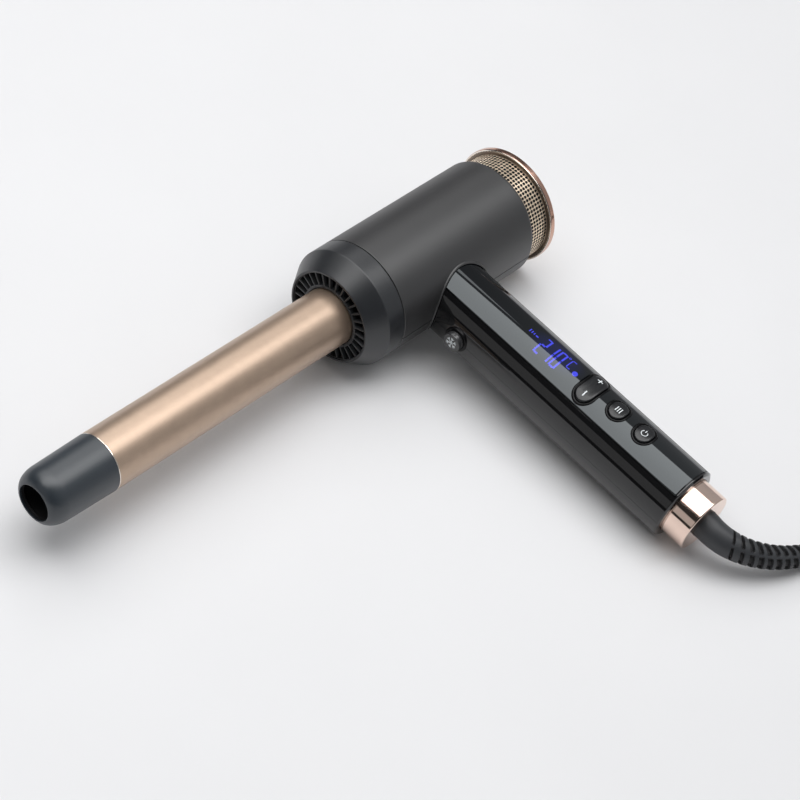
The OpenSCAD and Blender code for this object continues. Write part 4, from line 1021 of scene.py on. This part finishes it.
# ---- CAD pieces that keep their own shape ----
KEPT = (
    (inner_black_and_painted_shade, "barrel_socket collar_back contact_plug outlet_ring contact_socket fan_housing filter_seat"
                  " filter_frame cord_clamp"),
    (magnet_nickel, "wand_magnets head_magnets rotor_magnet"),
    (steel, "motor_can fan_bearings fan_shaft clamp_screws shell_screws"),
    (aluminium, "heat_spreaders"), (ceramic, "barrel_heater"), (mica, "heat_shield heater_frame"),
    (alloy, "heating_elements"), (winding, "motor_stator"), (wire_red, "heater_leads wire_harness"),
    (brass, "contact_pins"), (switch_grey, "barrel_thermostat tact_switches"), (satin_black, "impeller"),
    (foam_black, "filter_foam"), (display_case, "display_module"), (board_green, "cool_shot_board control_board"),
)
for finish, names in KEPT:
    for kept in [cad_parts[name] for name in names.split()]:
        kept.data.materials.clear()
        kept.data.materials.append(finish)
        soften(kept, 0.2, 50)

# ---- floor ----
FLOOR = 80
floor = bpy.data.meshes.new("floor")
floor.from_pydata([(-FLOOR, -FLOOR, 0), (FLOOR, -FLOOR, 0), (FLOOR, FLOOR, 0), (-FLOOR, FLOOR, 0)], [],
                  [(0, 1, 2, 3)])
floor.materials.append(material("floor", (0.77, 0.77, 0.78), 0.55, spread=0.012, size=0.15, grain=0.03,
                                grain_size=0.002, specular=0.3))
ground = added("floor", floor)

# Away from the part, from one distance to another, the floor turns into an evenly pale backdrop
PALE_FROM, PALE_TO, PALE = 0.5, 1.3, (0.86, 0.86, 0.87, 1)
tree = floor.materials[0].node_tree
rays = node(tree, "LightPath").outputs
seen = math_node(tree, "MAXIMUM", rays["Is Camera Ray"], rays["Is Glossy Ray"])
seen = math_node(tree, "MAXIMUM", seen, rays["Is Transmission Ray"])
out_by = node(tree, "VectorMath", operation="LENGTH")
tree.links.new(node(tree, "NewGeometry").outputs["Position"], out_by.inputs[0])
far = smooth_range(tree, out_by.outputs["Value"], PALE_FROM, PALE_TO)
blend = node(tree, "MixShader")
tree.links.new(math_node(tree, "MULTIPLY", far, seen), blend.inputs["Fac"])
tree.links.new(tree.nodes["Principled BSDF"].outputs["BSDF"], blend.inputs[1])
tree.links.new(node(tree, "Emission", {"Color": PALE}).outputs["Emission"], blend.inputs[2])
tree.links.new(blend.outputs["Shader"], tree.nodes["Material Output"].inputs["Surface"])


# ---- lamps ----

def aimed(at):
    """The turn of a lamp that shines from a place to the origin."""
    return (-Vector(at)).to_track_quat("-Z", "Y")


def softbox(name, at, size, power, turned=None):
    """A lamp of this size, hidden from the camera; it shines to the origin unless its turn is given."""
    obj = added(name, put(bpy.data.lights.new(name, "AREA"), shape="RECTANGLE", size=size[0], size_y=size[1],
                          energy=power))
    obj.matrix_world = Matrix.Translation(at) @ (turned or aimed(at)).to_matrix().to_4x4()
    obj.visible_camera = False
    return obj


# One long box overhead, a weak wide one behind, a weak window on the barrel's side, and a fill with no reflection
softbox("overhead", (0.09, 0.14, 1.5), (2.4, 0.97), 22.9, Euler((0, 0, math.radians(-31))))
softbox("behind", (0.38, 1.13, 1.41), (1.7, 1.06), 10.2)
softbox("window", (-1.0, 0.2, 0.46), (0.9, 0.5), 0.55, aimed((-1.1, 0.2, 0.42)))
soft_fill = softbox("soft_fill", (-0.9, -0.6, 1.0), (1.4, 1.4), 2.6)
soft_fill.visible_glossy = False

# ---- world: pale in front of the intake, dim behind the part and on the barrel's side ----
world = bpy.data.worlds.new("world")
bpy.context.scene.world = world
world.use_nodes = True
room = world.node_tree
background = room.nodes["Background"]
background.inputs["Color"].default_value = (0.95, 0.97, 1.0, 1)
axes = node(room, "SeparateXYZ")
room.links.new(node(room, "TexCoord").outputs["Generated"], axes.inputs["Vector"])
behind = smooth_range(room, axes.outputs["Y"], 0.15, 0.30, 0.40, 0.12)
intake_side = smooth_range(room, axes.outputs["X"], -0.5, 0.25, 0.06, 1.0)
room.links.new(math_node(room, "MULTIPLY", behind, intake_side), background.inputs["Strength"])

bpy.context.scene.view_settings.view_transform = "Standard"
